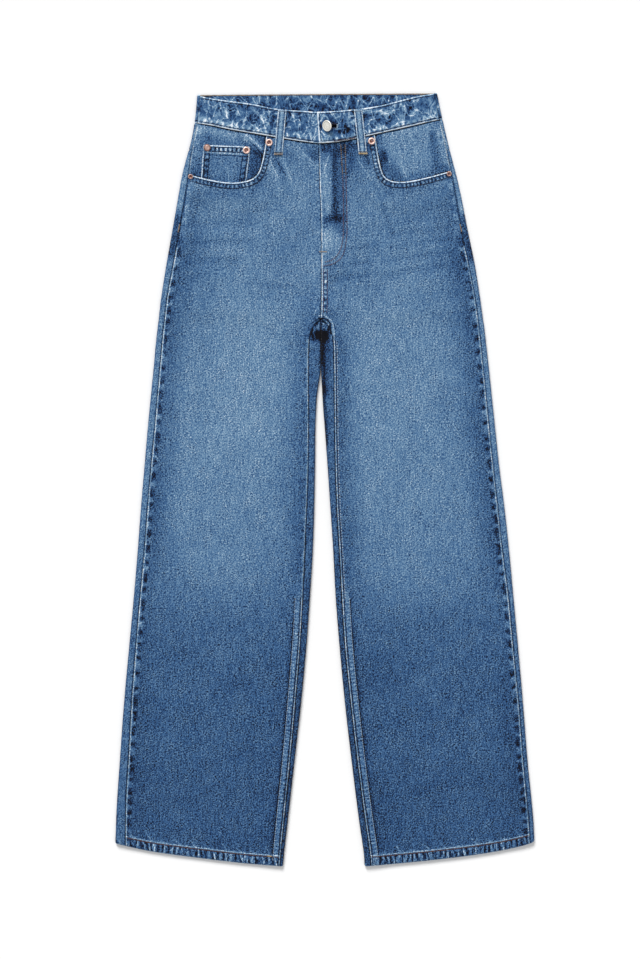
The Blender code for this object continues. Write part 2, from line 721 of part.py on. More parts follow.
def build_belt_loops(left, right):
    half = LOOP_WIDTH / 2.0
    for (name, top, foot), leg in zip(FRONT_LOOPS, (left, right)):
        outline = [(foot[0] - half, foot[1]), (foot[0] + half, foot[1]),
                   (top[0] + half, top[1]), (top[0] - half, top[1])]
        cloth(name, outline, lambda x, y, leg=leg: loop_face(leg, x, y), lambda y: LOOP_WALL,
              [(top[0] + foot[0]) / 2.0], spaced(530.0, 455.0, 4.0), DENIM)
    for name, x in BACK_LOOPS:
        top = read_line(BACK_WAIST, x, 2)
        foot = read_line(BACK_WAIST, x, 1) - BACK_LOOP_FOOT
        outline = [(x - half, foot), (x + half, foot), (x + half, top), (x - half, top)]
        cloth(name, outline, lambda x, y: SEAT_LIFT - SEAM_GAP, lambda y: SEAT_LIFT - SEAM_GAP,
              [], [], DENIM_BACK)


def turned(name, profile, place, tilt, sides, colour, roughness):
    """A turned piece of metal: profile of (radius, height), closed on its axis."""
    mesh = bmesh.new()
    verts = [mesh.verts.new((radius, 0.0, height)) for radius, height in profile]
    edges = [mesh.edges.new(pair) for pair in zip(verts, verts[1:])]
    bmesh.ops.spin(mesh, geom=verts + edges, axis=(0.0, 0.0, 1.0), cent=(0.0, 0.0, 0.0),
                   angle=math.tau, steps=sides, use_merge=True)
    bmesh.ops.remove_doubles(mesh, verts=mesh.verts, dist=0.001)
    bmesh.ops.recalc_face_normals(mesh, faces=mesh.faces)
    bmesh.ops.scale(mesh, vec=(MM, MM, MM), verts=mesh.verts)
    data = bpy.data.meshes.new(name)
    mesh.to_mesh(data)
    mesh.free()
    data.shade_smooth()
    data.set_sharp_from_angle(angle=math.radians(40.0))
    data.materials.append(finish(name, colour, roughness, 1.0))
    piece = bpy.data.objects.new(name, data)
    bpy.context.scene.collection.objects.link(piece)
    x, y, z = place
    piece.location = (x * MM, (y - MIDDLE_Y) * MM, z * MM)
    piece.rotation_euler = tilt
    return piece


def highest(face, place, reach):
    """Highest point of a face under a round piece of metal."""
    x, y = place
    spots = [(x, y)] + [(x + reach * math.cos(step), y + reach * math.sin(step)) for step in range(7)]
    return max(face(*spot) for spot in spots)


def build_metal(left, right):
    x, y = BUTTON_PLACE
    foot = highest(lambda px, py: band_face(left, px, py), BUTTON_PLACE, SHANK_RADIUS) + SEAM_GAP
    top = highest(lambda px, py: band_end_face(right, px, py), BUTTON_PLACE, BUTTON_RADIUS)
    lift = top - foot + SEAM_GAP + BUTTON_RADIUS * math.sin(BUTTON_TILT)
    rim = BUTTON_RADIUS
    profile = ((0.0, 0.1), (SHANK_RADIUS, 0.1), (SHANK_RADIUS, lift), (rim - 1.2, lift),
               (rim, lift + 0.7), (rim, lift + 1.5), (rim - 0.8, lift + 2.1),
               (rim - 2.0, lift + 1.7), (0.0, lift + 1.7))
    button = turned("button", profile, (x, y, foot), (0.0, 0.0, 0.0), 24, SILVER, 0.35)
    for vertex in button.data.vertices:
        if vertex.co.z > (lift - 0.5) * MM:
            vertex.co.z += vertex.co.x * math.tan(BUTTON_TILT)
    profile = ((0.0, 0.0), (RIVET_RADIUS, 0.0), (RIVET_RADIUS, 0.5), (RIVET_RADIUS - 1.0, RIVET_HEIGHT),
               (2.6, RIVET_HEIGHT), (1.6, 0.9), (0.8, 1.3), (0.0, 1.4))
    for name, place in RIVETS:
        leg = left if place[0] < 0.0 else right
        coin = LAYER if "coin" in name else 0.0
        if coin:
            ground = highest(lambda px, py: upper_face(leg, px, py), place, RIVET_RADIUS) + coin
        else:
            ground = highest(lambda px, py: front_face(leg, px, py), place, RIVET_RADIUS)
        turned(name, profile, (*place, ground + SEAM_GAP), (0.0, 0.0, 0.0), 16, COPPER, 0.3)


def build_jeans():
    left = Leg(LEFT_LEG, -1.0, LEFT_MOUTH, LEFT_FACING, LEFT_GAPE)
    right = Leg(RIGHT_LEG, 1.0, RIGHT_MOUTH, RIGHT_FACING, RIGHT_GAPE)
    for side, leg in (("left", left), ("right", right)):
        build_front("front_" + side, leg)
        build_back("back_" + side, leg)
        build_yoke("yoke_" + side, leg)
    build_waistband(left, right)
    build_pocket_facings(left, right)
    build_fly(right)
    build_back_pockets()
    build_belt_loops(left, right)
    build_metal(left, right)


for item in list(bpy.data.objects):
    bpy.data.objects.remove(item)
build_jeans()
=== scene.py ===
"""Wide leg jeans in washed denim, lying flat on a pale floor, face up.

X runs across the garment, Y from the hems to the waist, Z up from the table.
Working sizes are in millimetres, in the garment's own pattern: the slant of the hems
and the place of the origin come last, in to_frame(). The sizes are the CAD source's.
"""

import math
from collections import namedtuple

import bmesh
import bpy
import numpy as np
from mathutils import Matrix, Vector


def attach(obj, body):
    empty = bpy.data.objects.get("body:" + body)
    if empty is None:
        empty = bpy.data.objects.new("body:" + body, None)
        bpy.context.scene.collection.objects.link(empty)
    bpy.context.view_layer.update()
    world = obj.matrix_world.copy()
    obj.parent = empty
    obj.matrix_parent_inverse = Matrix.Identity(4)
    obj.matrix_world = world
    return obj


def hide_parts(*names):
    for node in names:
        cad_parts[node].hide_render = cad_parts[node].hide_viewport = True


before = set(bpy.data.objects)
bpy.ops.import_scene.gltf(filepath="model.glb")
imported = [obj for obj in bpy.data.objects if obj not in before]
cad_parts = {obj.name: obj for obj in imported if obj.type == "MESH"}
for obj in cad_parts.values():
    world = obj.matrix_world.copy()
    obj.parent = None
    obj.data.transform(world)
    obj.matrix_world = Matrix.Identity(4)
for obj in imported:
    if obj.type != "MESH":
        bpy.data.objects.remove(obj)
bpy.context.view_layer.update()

# Driving sizes of the cloth.
MM = 0.001
WALL = 1.1
SEAM_GAP = 0.3
LAYER = WALL + SEAM_GAP
CLOTH = 1.0
MIDDLE_GAP = 0.6
EDGE_HEIGHT = 6.0
EDGE_REACH = 45.0
HEM_DEPTH = 12.0
HEM_WALL = 2.1
HEM_LEVEL = -553.5
HEM_BLEND = 170.0
BAND_WALL = 2.2
BAND_EDGE_HEIGHT = 6.6
MIDDLE_Y = -1.2
SEAT_LIFT = 1.8

# Places across the garment and up it.
BACK_CENTRE = -5.5
CROTCH_Y = 230.0
CROTCH_END = 229.5
YOKE_SIDE_Y = 470.0
YOKE_CENTRE_Y = 440.0
UNDER_END_X = 22.0
FLY_WIDTH = 41.0
MOUTH_SPLIT_Y = 412.0

# One row for each level down a leg: level, outer fold, side seam.
LEFT_LEG = ((548.5, -182, -178.4), (508.5, -186, -182.4), (483.5, -190.5, -186.9), (459, -197, -191.5),
    (434.5, -203.5, -194.5), (399, -210, -200), (356, -217.5, -207.5), (310.5, -225.5, -215.5),
    (256, -234, -225.5), (237, -236.2, -227.7), (229.5, -237, -228.5), (225.5, -237.5, -229),
    (221.5, -238, -229.5), (209, -239.5, -231), (191.5, -241.5, -232.5), (165, -243.8, -234.8),
    (113, -249, -239.5), (66, -253.5, -243.5), (18.5, -257.5, -248), (-40, -262.5, -253),
    (-100, -267, -257.5), (-166, -272.5, -263.5), (-230, -278.5, -269), (-316, -286.5, -275.5),
    (-399, -292.5, -280), (-483.5, -297, -284), (-541, -298.8, -284.5), (-553.5, -299, -284.5))
RIGHT_LEG = ((551, 160.5, 156.9), (513.5, 168, 164.4), (483.5, 175, 171.4), (459, 181, 176.5),
    (434.5, 187.5, 181.5), (399, 195.5, 188.5), (356, 204, 195), (310.5, 213.5, 204.5), (256, 222, 215),
    (237, 224.6, 217.6), (229.5, 225.6, 218.6), (225.5, 226.2, 219), (221.5, 227, 219.5), (209, 228.5, 221),
    (191.5, 230.5, 223), (165, 233.5, 225.8), (113, 239, 231), (66, 244, 235.5), (18.5, 249, 240.5),
    (-40, 256.5, 247), (-100, 263, 253.5), (-166, 269, 262), (-230, 275, 268), (-316, 282.5, 276.5),
    (-399, 289, 283), (-483.5, 295.5, 289), (-541, 298.7, 292.5), (-553.5, 299, 293))

# The same below the crotch: level, inseam, inner fold.
LEFT_INNER = ((229.5, -5.4, -5.65), (225.5, -10, -5.65), (221.5, -14, -5.65), (209, -20.5, -5.65),
    (191.5, -23, -5.65), (165, -23.5, -5.65), (113, -23.5, -11.5), (66, -23.5, -13.5), (18.5, -24, -14),
    (-40, -26, -15), (-100, -28.5, -17), (-166, -31.5, -21), (-230, -35, -25.5), (-316, -42, -33.5),
    (-399, -49.5, -43), (-483.5, -58, -52.5), (-541, -63.5, -59), (-553.5, -64.5, -60))
RIGHT_INNER = ((229.5, -5.6, -5.35), (225.5, -0.8, -5.35), (221.5, 3.2, -5.35), (209, 10, -5.35),
    (191.5, 13, -5.35), (165, 13.5, -5.35), (113, 14, -3), (66, 14.5, 0.5), (18.5, 15.5, 4), (-40, 17.5, 8),
    (-100, 21, 12), (-166, 24.5, 15.5), (-230, 28.5, 20.5), (-316, 37, 28.5), (-399, 46.5, 38),
    (-483.5, 57.5, 48.5), (-541, 65.5, 56.5), (-553.5, 66.5, 57.5))

# How far the inner edge of a back panel curls up at each level of the crotch.
CURL = ((248, 0), (245, 0.02), (237, 0.16), (229.5, 0.34), (225.5, 0.66), (221.5, 1))

# One row for each place along the waist: across, waist seam, top edge.
FRONT_WAIST = ((-185.5, 508.5, 549), (-163, 505, 543.5), (-134, 499, 539.5), (-104.5, 494, 535.5),
    (-75, 489, 529.5), (-54, 485.5, 527), (-31, 482, 525.5), (-7, 479.5, 524), (14.5, 481, 525),
    (37.5, 484.5, 527), (57, 489, 529.5), (81, 494.5, 533.5), (110, 501, 541), (136, 507, 547),
    (160.5, 512.5, 551), (168, 513.5, 552))
BACK_WAIST = ((-186, 508.5, 548.5), (-5.5, 510, 550), (168, 513.5, 551))

# The front centre edge, from the band's top down to the crotch: level, across.
FRONT_CENTRE = ((524, -11), (480, -8), (424.5, -7), (379, -5), (302, -4.5), (251.5, -4.5), (229.5, -5.5))

# The curved front pocket mouths, from the side seam to the waist seam.
LEFT_MOUTH = ((-194.5, 434.5), (-163, 427), (-134, 423), (-110, 426), (-97.5, 433.5), (-91, 447),
    (-86, 470), (-83.5, 490.2))
RIGHT_MOUTH = ((180.5, 440), (154, 432.5), (125, 426), (105, 424.3), (90, 428), (82, 438), (76.5, 460),
    (71.5, 492.2))

# The cut hems, from the outer fold to the inner fold: across, height over HEM_LEVEL.
LEFT_HEM = ((-300, 33), (-248.5, 21.5), (-175.5, 11.5), (-111, 4), (-59.5, 0))
RIGHT_HEM = ((57, 0), (82, 2), (167.5, 10.5), (240.5, 20.5), (294, 33), (299, 35.5))

# Hidden edge of each front pocket's facing, from the waist seam to the side seam.
LEFT_FACING = ((-62, 486.5), (-66, 442), (-80, 415), (-102, 402), (-134, 398), (-172, 405))
RIGHT_FACING = ((50, 487), (55, 442), (68, 414), (92, 402), (125, 400), (162, 408))

# The coin pocket, whose foot is hidden behind the front panel: its corners from the lower left.
COIN_CORNERS = ((-178, 413), (-114, 411), (-106, 474.5), (-173, 477))

# Where the mouth of a front pocket stands off, and the hollow where the four leg seams cross:
# across, level, reach, height.
LEFT_GAPE = (-90, 455, 14, 0.8)
RIGHT_GAPE = (80, 452, 14, 1.4)
CROTCH_HOLLOW = (-3.8, 204, 9, -4.3)

# Back pockets: the size of each, and its left edge across.
POCKET_TOP_Y = 412.0
POCKET_WIDTH = 136.0
POCKET_TAPER = 9.0
POCKET_POINT = 20.0
POCKET_LOW_Y = 282.0
BACK_POCKETS = (("back_pocket_left", -166.0), ("back_pocket_right", 20.0))

# Belt loops: middle of the top end, middle of the foot.
LOOP_HALF = 6.0
LOOP_WALL = 1.5
FRONT_LOOPS = (("belt_loop_front_left", (-60.5, 527), (-66.5, 462)),
    ("belt_loop_front_right", (47.5, 527), (54.5, 463)))
BACK_LOOPS = (("belt_loop_back_left", -104), ("belt_loop_back_middle", -5.5), ("belt_loop_back_right", 92))
BACK_LOOP_FOOT = 20.0

# Metal: the shank button and the six rivets.
BUTTON_PLACE = (3.6, 503.5)
BUTTON_RADIUS = 8.4
BUTTON_LEAN = 39.0
SHANK_RADIUS = 1.6
SLOT_HALF = 1.95
SLOT_ENDS = (1.3, 15.5)
RIVET_RADIUS = 4.8
RIVETS = (("rivet_coin_left", (-168, 473)), ("rivet_coin_right", (-112, 469.5)),
    ("rivet_left_mouth_top", (-79.5, 480.5)), ("rivet_left_mouth_foot", (-191.5, 431.5)),
    ("rivet_right_mouth_top", (67, 482.5)), ("rivet_right_mouth_foot", (177.5, 435.5)))

# Stitching.
STITCH_PITCH = 3.2
STITCH_LENGTH = 2.5
STITCH_THICK = 0.9

# What each point of a cloth piece stores for its finish, and what it stores where nothing is given:
# FAR is beyond the reach of any seam, and NO_ROW a row of stitching that isn't there. The first mark is
# how washed pale the denim is, with painted shade added in folds, hollows and seam gaps and beside the
# loops, the button and the pocket mouths.
FAR = 60.0
NO_ROW = -9.0
MARKS = {"wash": 0.5, "reach": FAR, "wave": 0.0, "teeth": 0.0, "edge": 0.0, "row": NO_ROW, "second": NO_ROW,
         "line": FAR, "tone": 0.0}


# ---------------------------------------------------------------- lines and faces of the pattern

def fade(value, start, end):
    """Smooth step from 0 at start to 1 at end, which may be the lower one."""
    share = np.clip((np.asarray(value, float) - start) / (end - start), 0.0, 1.0)
    return share * share * (3.0 - 2.0 * share)


def bell(value, middle, width):
    """A soft rise to 1 at the middle, gone some two widths away."""
    return np.exp(-((value - middle) / width) ** 2)


def gentle_line(rows, column=1):
    """A function that reads a table's column by its first, smoothly and never past its values."""
    rows = np.array(sorted(rows), float)
    place = rows[:, 0]
    value = rows[:, column]
    step = np.diff(place)
    slope = np.diff(value) / step
    same_way = slope[:-1] * slope[1:] > 0.0
    total = np.where(same_way, slope[:-1] + slope[1:], 1.0)
    inner = np.where(same_way, 2.0 * slope[:-1] * slope[1:] / total, 0.0)
    lean = np.concatenate(([slope[0]], inner, [slope[-1]]))

    def read(at):
        at = np.clip(np.asarray(at, float), place[0], place[-1])
        cell = np.clip(np.searchsorted(place, at, side="right") - 1, 0, len(step) - 1)
        t = (at - place[cell]) / step[cell]
        s = 1.0 - t
        start = (1.0 + 2.0 * t) * s * s * value[cell] + t * s * s * step[cell] * lean[cell]
        end = t * t * (3.0 - 2.0 * t) * value[cell + 1] - t * t * s * step[cell] * lean[cell + 1]
        return start + end

    return read


def smooth_curve(points, steps=6):
    """Points on a smooth curve through the given points, as an array."""
    line = np.asarray(points, float)
    line = np.vstack((line[:1], line, line[-1:]))
    curve = []
    for a, b, c, d in zip(line, line[1:], line[2:], line[3:]):
        for t in np.arange(steps) / steps:
            curve.append(0.5 * (2.0 * b + (c - a) * t + (2.0 * a - 5.0 * b + 4.0 * c - d) * t * t
                                + (3.0 * b - a - 3.0 * c + d) * t ** 3))
    curve.append(line[-1])
    return np.array(curve)


def nearest(line, x, y):
    """Distance from each point to a line, and how far along the line that is."""
    best = np.full(np.shape(x), 1.0e9)
    run = np.zeros(np.shape(x))
    start = 0.0
    for (x0, y0), (x1, y1) in zip(line, line[1:]):
        length = math.hypot(x1 - x0, y1 - y0)
        share = ((x - x0) * (x1 - x0) + (y - y0) * (y1 - y0)) / (length * length)
        share = np.clip(share, 0.0, 1.0)
        distance = np.hypot(x - x0 - (x1 - x0) * share, y - y0 - (y1 - y0) * share)
        run = np.where(distance < best, start + share * length, run)
        best = np.minimum(distance, best)
        start += length
    return best, run


def depth_inside(outline, x, y):
    """Distance to a closed outline, positive inside it."""
    closed = np.vstack((outline, outline[:1]))
    inside = np.zeros(np.shape(x), bool)
    for (x0, y0), (x1, y1) in zip(closed, closed[1:]):
        if y0 != y1:
            inside ^= ((y0 > y) != (y1 > y)) & (x < x0 + (y - y0) * (x1 - x0) / (y1 - y0))
    return nearest(closed, x, y)[0] * np.where(inside, 1.0, -1.0)


def spaced(*stops):
    """Places from the first stop to the last, each stop a place and the step wanted there."""
    place, step = np.array(stops, float).T
    fine = np.linspace(place[0], place[-1], 4000)
    pace = 1.0 / np.interp(fine, place, step)
    count = np.append(0.0, np.cumsum(0.5 * (pace[1:] + pace[:-1]) * np.diff(fine)))
    total = max(int(round(count[-1])), 1)
    return np.interp(np.linspace(0.0, count[-1], total + 1), count, fine)


def spot(row, x, y):
    """A soft round rise: middle across, middle level, reach, height."""
    return row[3] * bell(x, row[0], row[2]) * bell(y, row[1], row[2])


def line_down(across, start, end, step=12.0):
    """A line that follows a seam down the garment."""
    level = np.linspace(start, end, max(int(abs(end - start) / step), 2))
    return np.column_stack((across(level), level))


def line_across(level, start, end, step=8.0):
    """A line that follows a seam across the garment."""
    across = np.linspace(start, end, max(int(abs(end - start) / step), 2))
    return np.column_stack((across, level(across)))


waist_seam = gentle_line(FRONT_WAIST)
waist_top = gentle_line(FRONT_WAIST, 2)
back_seam = gentle_line(BACK_WAIST)
back_top = gentle_line(BACK_WAIST, 2)
front_centre = gentle_line(FRONT_CENTRE)
left_hem = gentle_line(LEFT_HEM)
right_hem = gentle_line(RIGHT_HEM)
curl_at = gentle_line(CURL)


def panel_top(x):
    """The upper edge of the panels that end at the waist seam."""
    return waist_seam(x) - SEAM_GAP


class Leg:
    """One side of the garment, read from its tables of levels."""

    def __init__(self, name, outward, rows, inner_rows, mouth, hidden_edge, gape):
        self.name = name
        self.outward = outward
        self.outer_fold = gentle_line(rows)
        self.side_seam = gentle_line(rows, 2)
        self.inseam = gentle_line(inner_rows)
        self.inner_fold = gentle_line(inner_rows, 2)
        self.mouth = smooth_curve(mouth)
        self.hidden_edge = np.array(hidden_edge)
        self.gape = gape
        levels = np.array([430.0, 445.0, 460.0, 475.0, 490.0, 503.0])
        top_x = np.linspace(self.side_seam(503.0), hidden_edge[0][0], 6)
        self.facing = np.vstack((np.column_stack((self.side_seam(levels), levels)),
                                 np.column_stack((top_x, waist_seam(top_x))), hidden_edge[1:]))


# The shield behind the fly, from the centre edge to the outer row of stitching.
FLY_LEVELS = np.array([478.0, 424.5, 379.0, 330.0, 304.0])
FLY_SHIELD = np.vstack((np.column_stack((front_centre(FLY_LEVELS), FLY_LEVELS)),
                        ((6, 302), (20, 311), (30, 325), (35, 345), (FLY_WIDTH - 5.0, 400),
                         (FLY_WIDTH - 10.0, 483), (14.5, 481))))


def seat_lift(leg, x, y):
    """Height of the seat over the table, where it lies on the back pockets and loops."""
    return SEAT_LIFT * fade(np.abs(x - leg.outer_fold(y)), 7.0, 28.0) * fade(y, 213.0, 246.0)


def upper_face(leg, x, y):
    """Upper face of a leg's top layer of cloth."""
    from_inner = np.where(y < CROTCH_Y, np.abs(x - leg.inner_fold(y)),
                          np.hypot(x - BACK_CENTRE, y - CROTCH_Y))
    share = fade(np.minimum(np.abs(x - leg.outer_fold(y)), from_inner), EDGE_REACH, 4.0)
    middle = 2.0 * WALL + MIDDLE_GAP + 2.0 * (HEM_WALL - WALL) * fade(y, -482.0, -532.0)
    hollow = spot(CROTCH_HOLLOW, x, y) * fade(y, CROTCH_Y - 3.0, CROTCH_Y - 7.0)
    return seat_lift(leg, x, y) + middle + (EDGE_HEIGHT - middle) * share + hollow


def band_face(leg, x, y):
    """Upper face of the front waistband; the buttonhole end lies over the button end."""
    middle = 2.0 * BAND_WALL + MIDDLE_GAP
    share = fade(np.abs(x - leg.outer_fold(y)), EDGE_REACH, 4.0)
    face = seat_lift(leg, x, y) + middle + (BAND_EDGE_HEIGHT - middle) * share
    if leg.outward > 0.0:
        face = face + (BAND_WALL + SEAM_GAP) * fade(x, UNDER_END_X + 42.0, UNDER_END_X + 5.0)
    return face


def front_face(leg, x, y):
    """Upper face of a front panel, over the pocket facing and over the coin pocket or fly."""
    below, reach = (COIN_CORNERS, -9.0) if leg.outward < 0.0 else (FLY_SHIELD, -8.0)
    lifted = fade(depth_inside(leg.facing, x, y), -26.0, -9.0) + fade(depth_inside(below, x, y), -24.0, reach)
    return upper_face(leg, x, y) + LAYER * lifted + spot(leg.gape, x, y)


def flat_face(height):
    """A level face."""
    return lambda x, y: np.full(np.shape(x), height)


def to_frame(x, y, z):
    """Points of the pattern, in millimetres, as an array of points in the shared frame.

    The slanting hem draws the cloth up, less and less up the leg.
    """
    raised = np.where(x < BACK_CENTRE, left_hem(x), right_hem(x)) * fade(y, HEM_LEVEL + HEM_BLEND, HEM_LEVEL)
    return np.column_stack((x, y + raised - MIDDLE_Y, z)) * MM


LEFT = Leg("left", -1.0, LEFT_LEG, LEFT_INNER, LEFT_MOUTH, LEFT_FACING, LEFT_GAPE)
RIGHT = Leg("right", 1.0, RIGHT_LEG, RIGHT_INNER, RIGHT_MOUTH, RIGHT_FACING, RIGHT_GAPE)


# ---------------------------------------------------------------- finishes

class Value:
    """An output in a node tree to reckon with: each sum or product is a Math node."""

    def __init__(self, tree, socket):
        self.tree = tree
        self.socket = socket

    def sums(self, operation, other=0.0, clamp=False):
        return made(self.tree, "Math", {0: self, 1: other}, operation=operation, use_clamp=clamp)

    def __add__(self, other):
        return self.sums("ADD", other)

    def __sub__(self, other):
        return self.sums("SUBTRACT", other)

    def __mul__(self, other):
        return self.sums("MULTIPLY", other)

    def step(self, low, high, start=0.0, end=1.0):
        """The value read on a smooth step from start at low to end at high."""
        inputs = {"Value": self, "From Min": low, "From Max": high, "To Min": start, "To Max": end}
        return made(self.tree, "MapRange", inputs, interpolation_type="SMOOTHSTEP")

    def stretched(self, scale, turn=0.0):
        """Coordinates turned and then stretched."""
        turned = made(self.tree, "Mapping", {"Vector": self, "Rotation": (0.0, 0.0, turn)})
        return made(self.tree, "VectorMath", {0: turned, 1: scale}, operation="MULTIPLY")

    def noise(self, scale=1.0, detail=1.0, roughness=0.5, distortion=0.0):
        """Noise about zero, from some -1 to 1."""
        inputs = {"Vector": self, "Scale": scale, "Detail": detail, "Roughness": roughness,
                  "Distortion": distortion}
        return made(self.tree, "TexNoise", inputs) * 2.0 - 1.0

    def line(self, width, place=0.0):
        """A soft line where the value is near a place: 1 on it, 0 at its width."""
        return (self - place).sums("ABSOLUTE").step(0.0, width, 1.0, 0.0)


def feed(tree, node, inputs):
    """Give a node its inputs, each a number or a Value."""
    for name, value in inputs.items():
        if isinstance(value, Value):
            tree.links.new(value.socket, node.inputs[name])
        else:
            node.inputs[name].default_value = value


def put(tree, kind, inputs, **settings):
    """A shader node with its settings and inputs."""
    node = tree.nodes.new("ShaderNode" + kind)
    for name, value in settings.items():
        setattr(node, name, value)
    feed(tree, node, inputs)
    return node


def made(tree, kind, inputs=(), output=0, **settings):
    """One output of a new node, as a Value."""
    return Value(tree, put(tree, kind, dict(inputs), **settings).outputs[output])


def paint(*parts):
    """A colour as read off a screen, from 0 to 255, made linear."""
    parts = np.array(parts) / 255.0
    return (*np.where(parts <= 0.04045, parts / 12.92, ((parts + 0.055) / 1.055) ** 2.4), 1.0)


# How strongly the yarns show in the wash.
GRAIN = 0.60

# Indigo from unworn to worn white: how much dye is gone, then the colour. The near-black first steps
# are there for painted shade, in the crotch's hollow and the seams' gaps and grooves.
DYE_STEPS = ((0.0, 3, 5, 16), (0.06, 14, 32, 70), (0.20, 33, 70, 114), (0.40, 67, 104, 145),
             (0.56, 97, 131, 162), (0.72, 127, 157, 181), (0.84, 162, 186, 206), (1.0, 222, 231, 239))


def washed_denim_group():
    """Colour, roughness and relief of denim from how washed it is, its painted shade, the seams near it and
    its weave.
    """
    group = bpy.data.node_groups.new("washed denim", "ShaderNodeTree")
    group.interface.new_socket("Cloth", in_out="INPUT", socket_type="NodeSocketVector")
    for title, value in (*MARKS.items(), ("grain", 1.0), ("crackle", 0.0)):
        socket = group.interface.new_socket(title.capitalize(), in_out="INPUT", socket_type="NodeSocketFloat")
        socket.default_value = value
    for title, kind in (("Color", "Color"), ("Roughness", "Float"), ("Height", "Float")):
        group.interface.new_socket(title, in_out="OUTPUT", socket_type="NodeSocket" + kind)
    result = group.nodes.new("NodeGroupOutput")
    source = group.nodes.new("NodeGroupInput").outputs
    given = {socket.name: Value(group, socket) for socket in source}
    cloth = given["Cloth"]

    # The yarns: a twill, warp and weft in short dashes, each stronger in some patches than in
    # others, and long faint warp lines.
    patch = cloth.noise(0.045)
    other = cloth.stretched((0.05, 0.03, 1.0), 0.5).noise()
    yarn = cloth.stretched((0.85, 0.50, 1.0), -0.80).noise() * patch.step(-0.3, 0.3, 0.5, 1.9)
    yarn = cloth.stretched((0.85, 0.36, 1.0)).noise() * patch.step(-0.3, 0.3, 1.6, 0.5) + yarn
    yarn = cloth.stretched((0.36, 0.85, 1.0), 0.08).noise() * other.step(-0.3, 0.3, 0.4, 1.4) + yarn
    yarn = cloth.stretched((0.45, 0.05, 1.0)).noise() * 0.45 + yarn
    yarn = yarn.step(-1.5, 1.35, -1.00, 0.86)
    cloud = cloth.noise(0.022, 3.0, 0.6) * 0.10
    streak = cloth.stretched((0.09, 0.012, 1.0)).noise(1.0, 2.0) * 0.06

    # Beside a seam: the worn edge, painted dark as shade in the seam's gap where Edge is below zero; the
    # rows of stitching, darkened as painted shade in their grooves; and the puckers between them.
    wobble = cloth.noise(0.16) * 0.35
    reach = given["Reach"] + wobble
    edge = reach.step(0.8, 2.0, 1.0, 0.0) * cloth.noise(0.05, 2.0).step(-0.5, 0.4, 0.6, 1.1) * given["Edge"]
    rows = (reach.line(1.25, given["Row"]) + reach.line(1.25, given["Second"])) * -0.42
    teeth = ((cloth.noise(0.06) * 0.7 + given["Wave"]) * math.tau).sums("SINE")
    start = given["Row"].sums("MAXIMUM", 0.9)
    doubled = given["Second"].sums("GREATER_THAN", 0.0)
    end = doubled * (given["Second"] - 9.5) + 9.5
    window = reach.step(start, start + 0.9) * reach.step(end - (doubled * -2.0 + 3.2), end, 1.0, 0.0)
    teeth = (cloth.noise(0.12) * 1.1 + teeth) * window * given["Teeth"]

    # Single creases, worn pale or left dark; the dark ones where the leg seams cross and below the coin
    # pocket's top are painted shade.
    line = (wobble * 1.4 + given["Line"]).line(1.5) * given["Tone"]

    # Where a doubled band has creased in the wash: worn lines that cross, and unworn patches.
    net = cloth.stretched((1.0, 0.72, 1.0), 0.3).noise(0.066, 2.0, distortion=0.9).line(0.10)
    fine = cloth.stretched((1.0, 0.5, 1.0), -0.5).noise(0.11).line(0.12)
    lobes = cloth.stretched((0.12, 0.08, 1.0), 0.2).noise(1.0, 2.5, 0.6)
    crackle = (fine * 0.35 + (lobes * 1.1 + net * 0.85) - 0.25) * given["Crackle"]

    wear = given["Wash"] + yarn * (given["Grain"] * GRAIN)
    for part in (cloud, streak, edge, rows, teeth, crackle, line):
        wear = wear + part
    ramp = put(group, "ValToRGB", {"Fac": wear * 0.8})
    steps = ramp.color_ramp.elements
    for place, *colour in DYE_STEPS:
        step = steps[0] if place == 0.0 else steps[-1] if place == 1.0 else steps.new(place)
        step.color = paint(*colour)
    group.links.new(ramp.outputs["Color"], result.inputs["Color"])
    rough = (yarn * 0.08).sums("ADD", 0.86, clamp=True)
    height = yarn * 0.35 + teeth * 0.8 + crackle * 0.5 + rows * 1.2 + line * 0.8
    feed(group, result, {"Roughness": rough, "Height": height})
    return group


DENIM_GROUP = washed_denim_group()


def new_finish(name):
    """A material with its Principled shader."""
    material = bpy.data.materials.new(name)
    material.use_nodes = True
    return material, material.node_tree, material.node_tree.nodes["Principled BSDF"]


def mark(tree, name, output="Fac"):
    """A piece's own value, stored at each of its points."""
    return made(tree, "Attribute", output=output, attribute_name=name)


def blend(share, first, second):
    """A colour between two others."""
    return made(share.tree, "Mix", {0: share, 6: first, 7: second}, 2, data_type="RGBA")


def bump(height, strength, distance):
    """The normal of a surface with a height."""
    return made(height.tree, "Bump", {"Strength": strength, "Distance": distance, "Height": height})


def denim_finish(name, grain=1.0, crackle=0.0, shade=0.0, reverse=False):
    """One denim: shade is added to how washed it is, and the reverse shows the pale weft."""
    material, tree, shader = new_finish(name)
    inputs = {"Cloth": mark(tree, "cloth", "Vector"), "Grain": grain, "Crackle": crackle}
    for title in ("wash", "line", "tone") if reverse else MARKS:
        inputs[title.capitalize()] = mark(tree, title)
    inputs["Wash"] = inputs["Wash"] + shade
    denim = put(tree, "Group", inputs, node_tree=DENIM_GROUP)
    relief = put(tree, "Bump", {"Strength": 0.55, "Distance": MM})
    for output, end in (("Color", shader.inputs["Base Color"]), ("Roughness", shader.inputs["Roughness"]),
                        ("Height", relief.inputs["Height"])):
        tree.links.new(denim.outputs[output], end)
    tree.links.new(relief.outputs["Normal"], shader.inputs["Normal"])
    feed(tree, shader, {"Specular IOR Level": 0.12, "Sheen Weight": 0.05, "Sheen Roughness": 0.6})
    return material


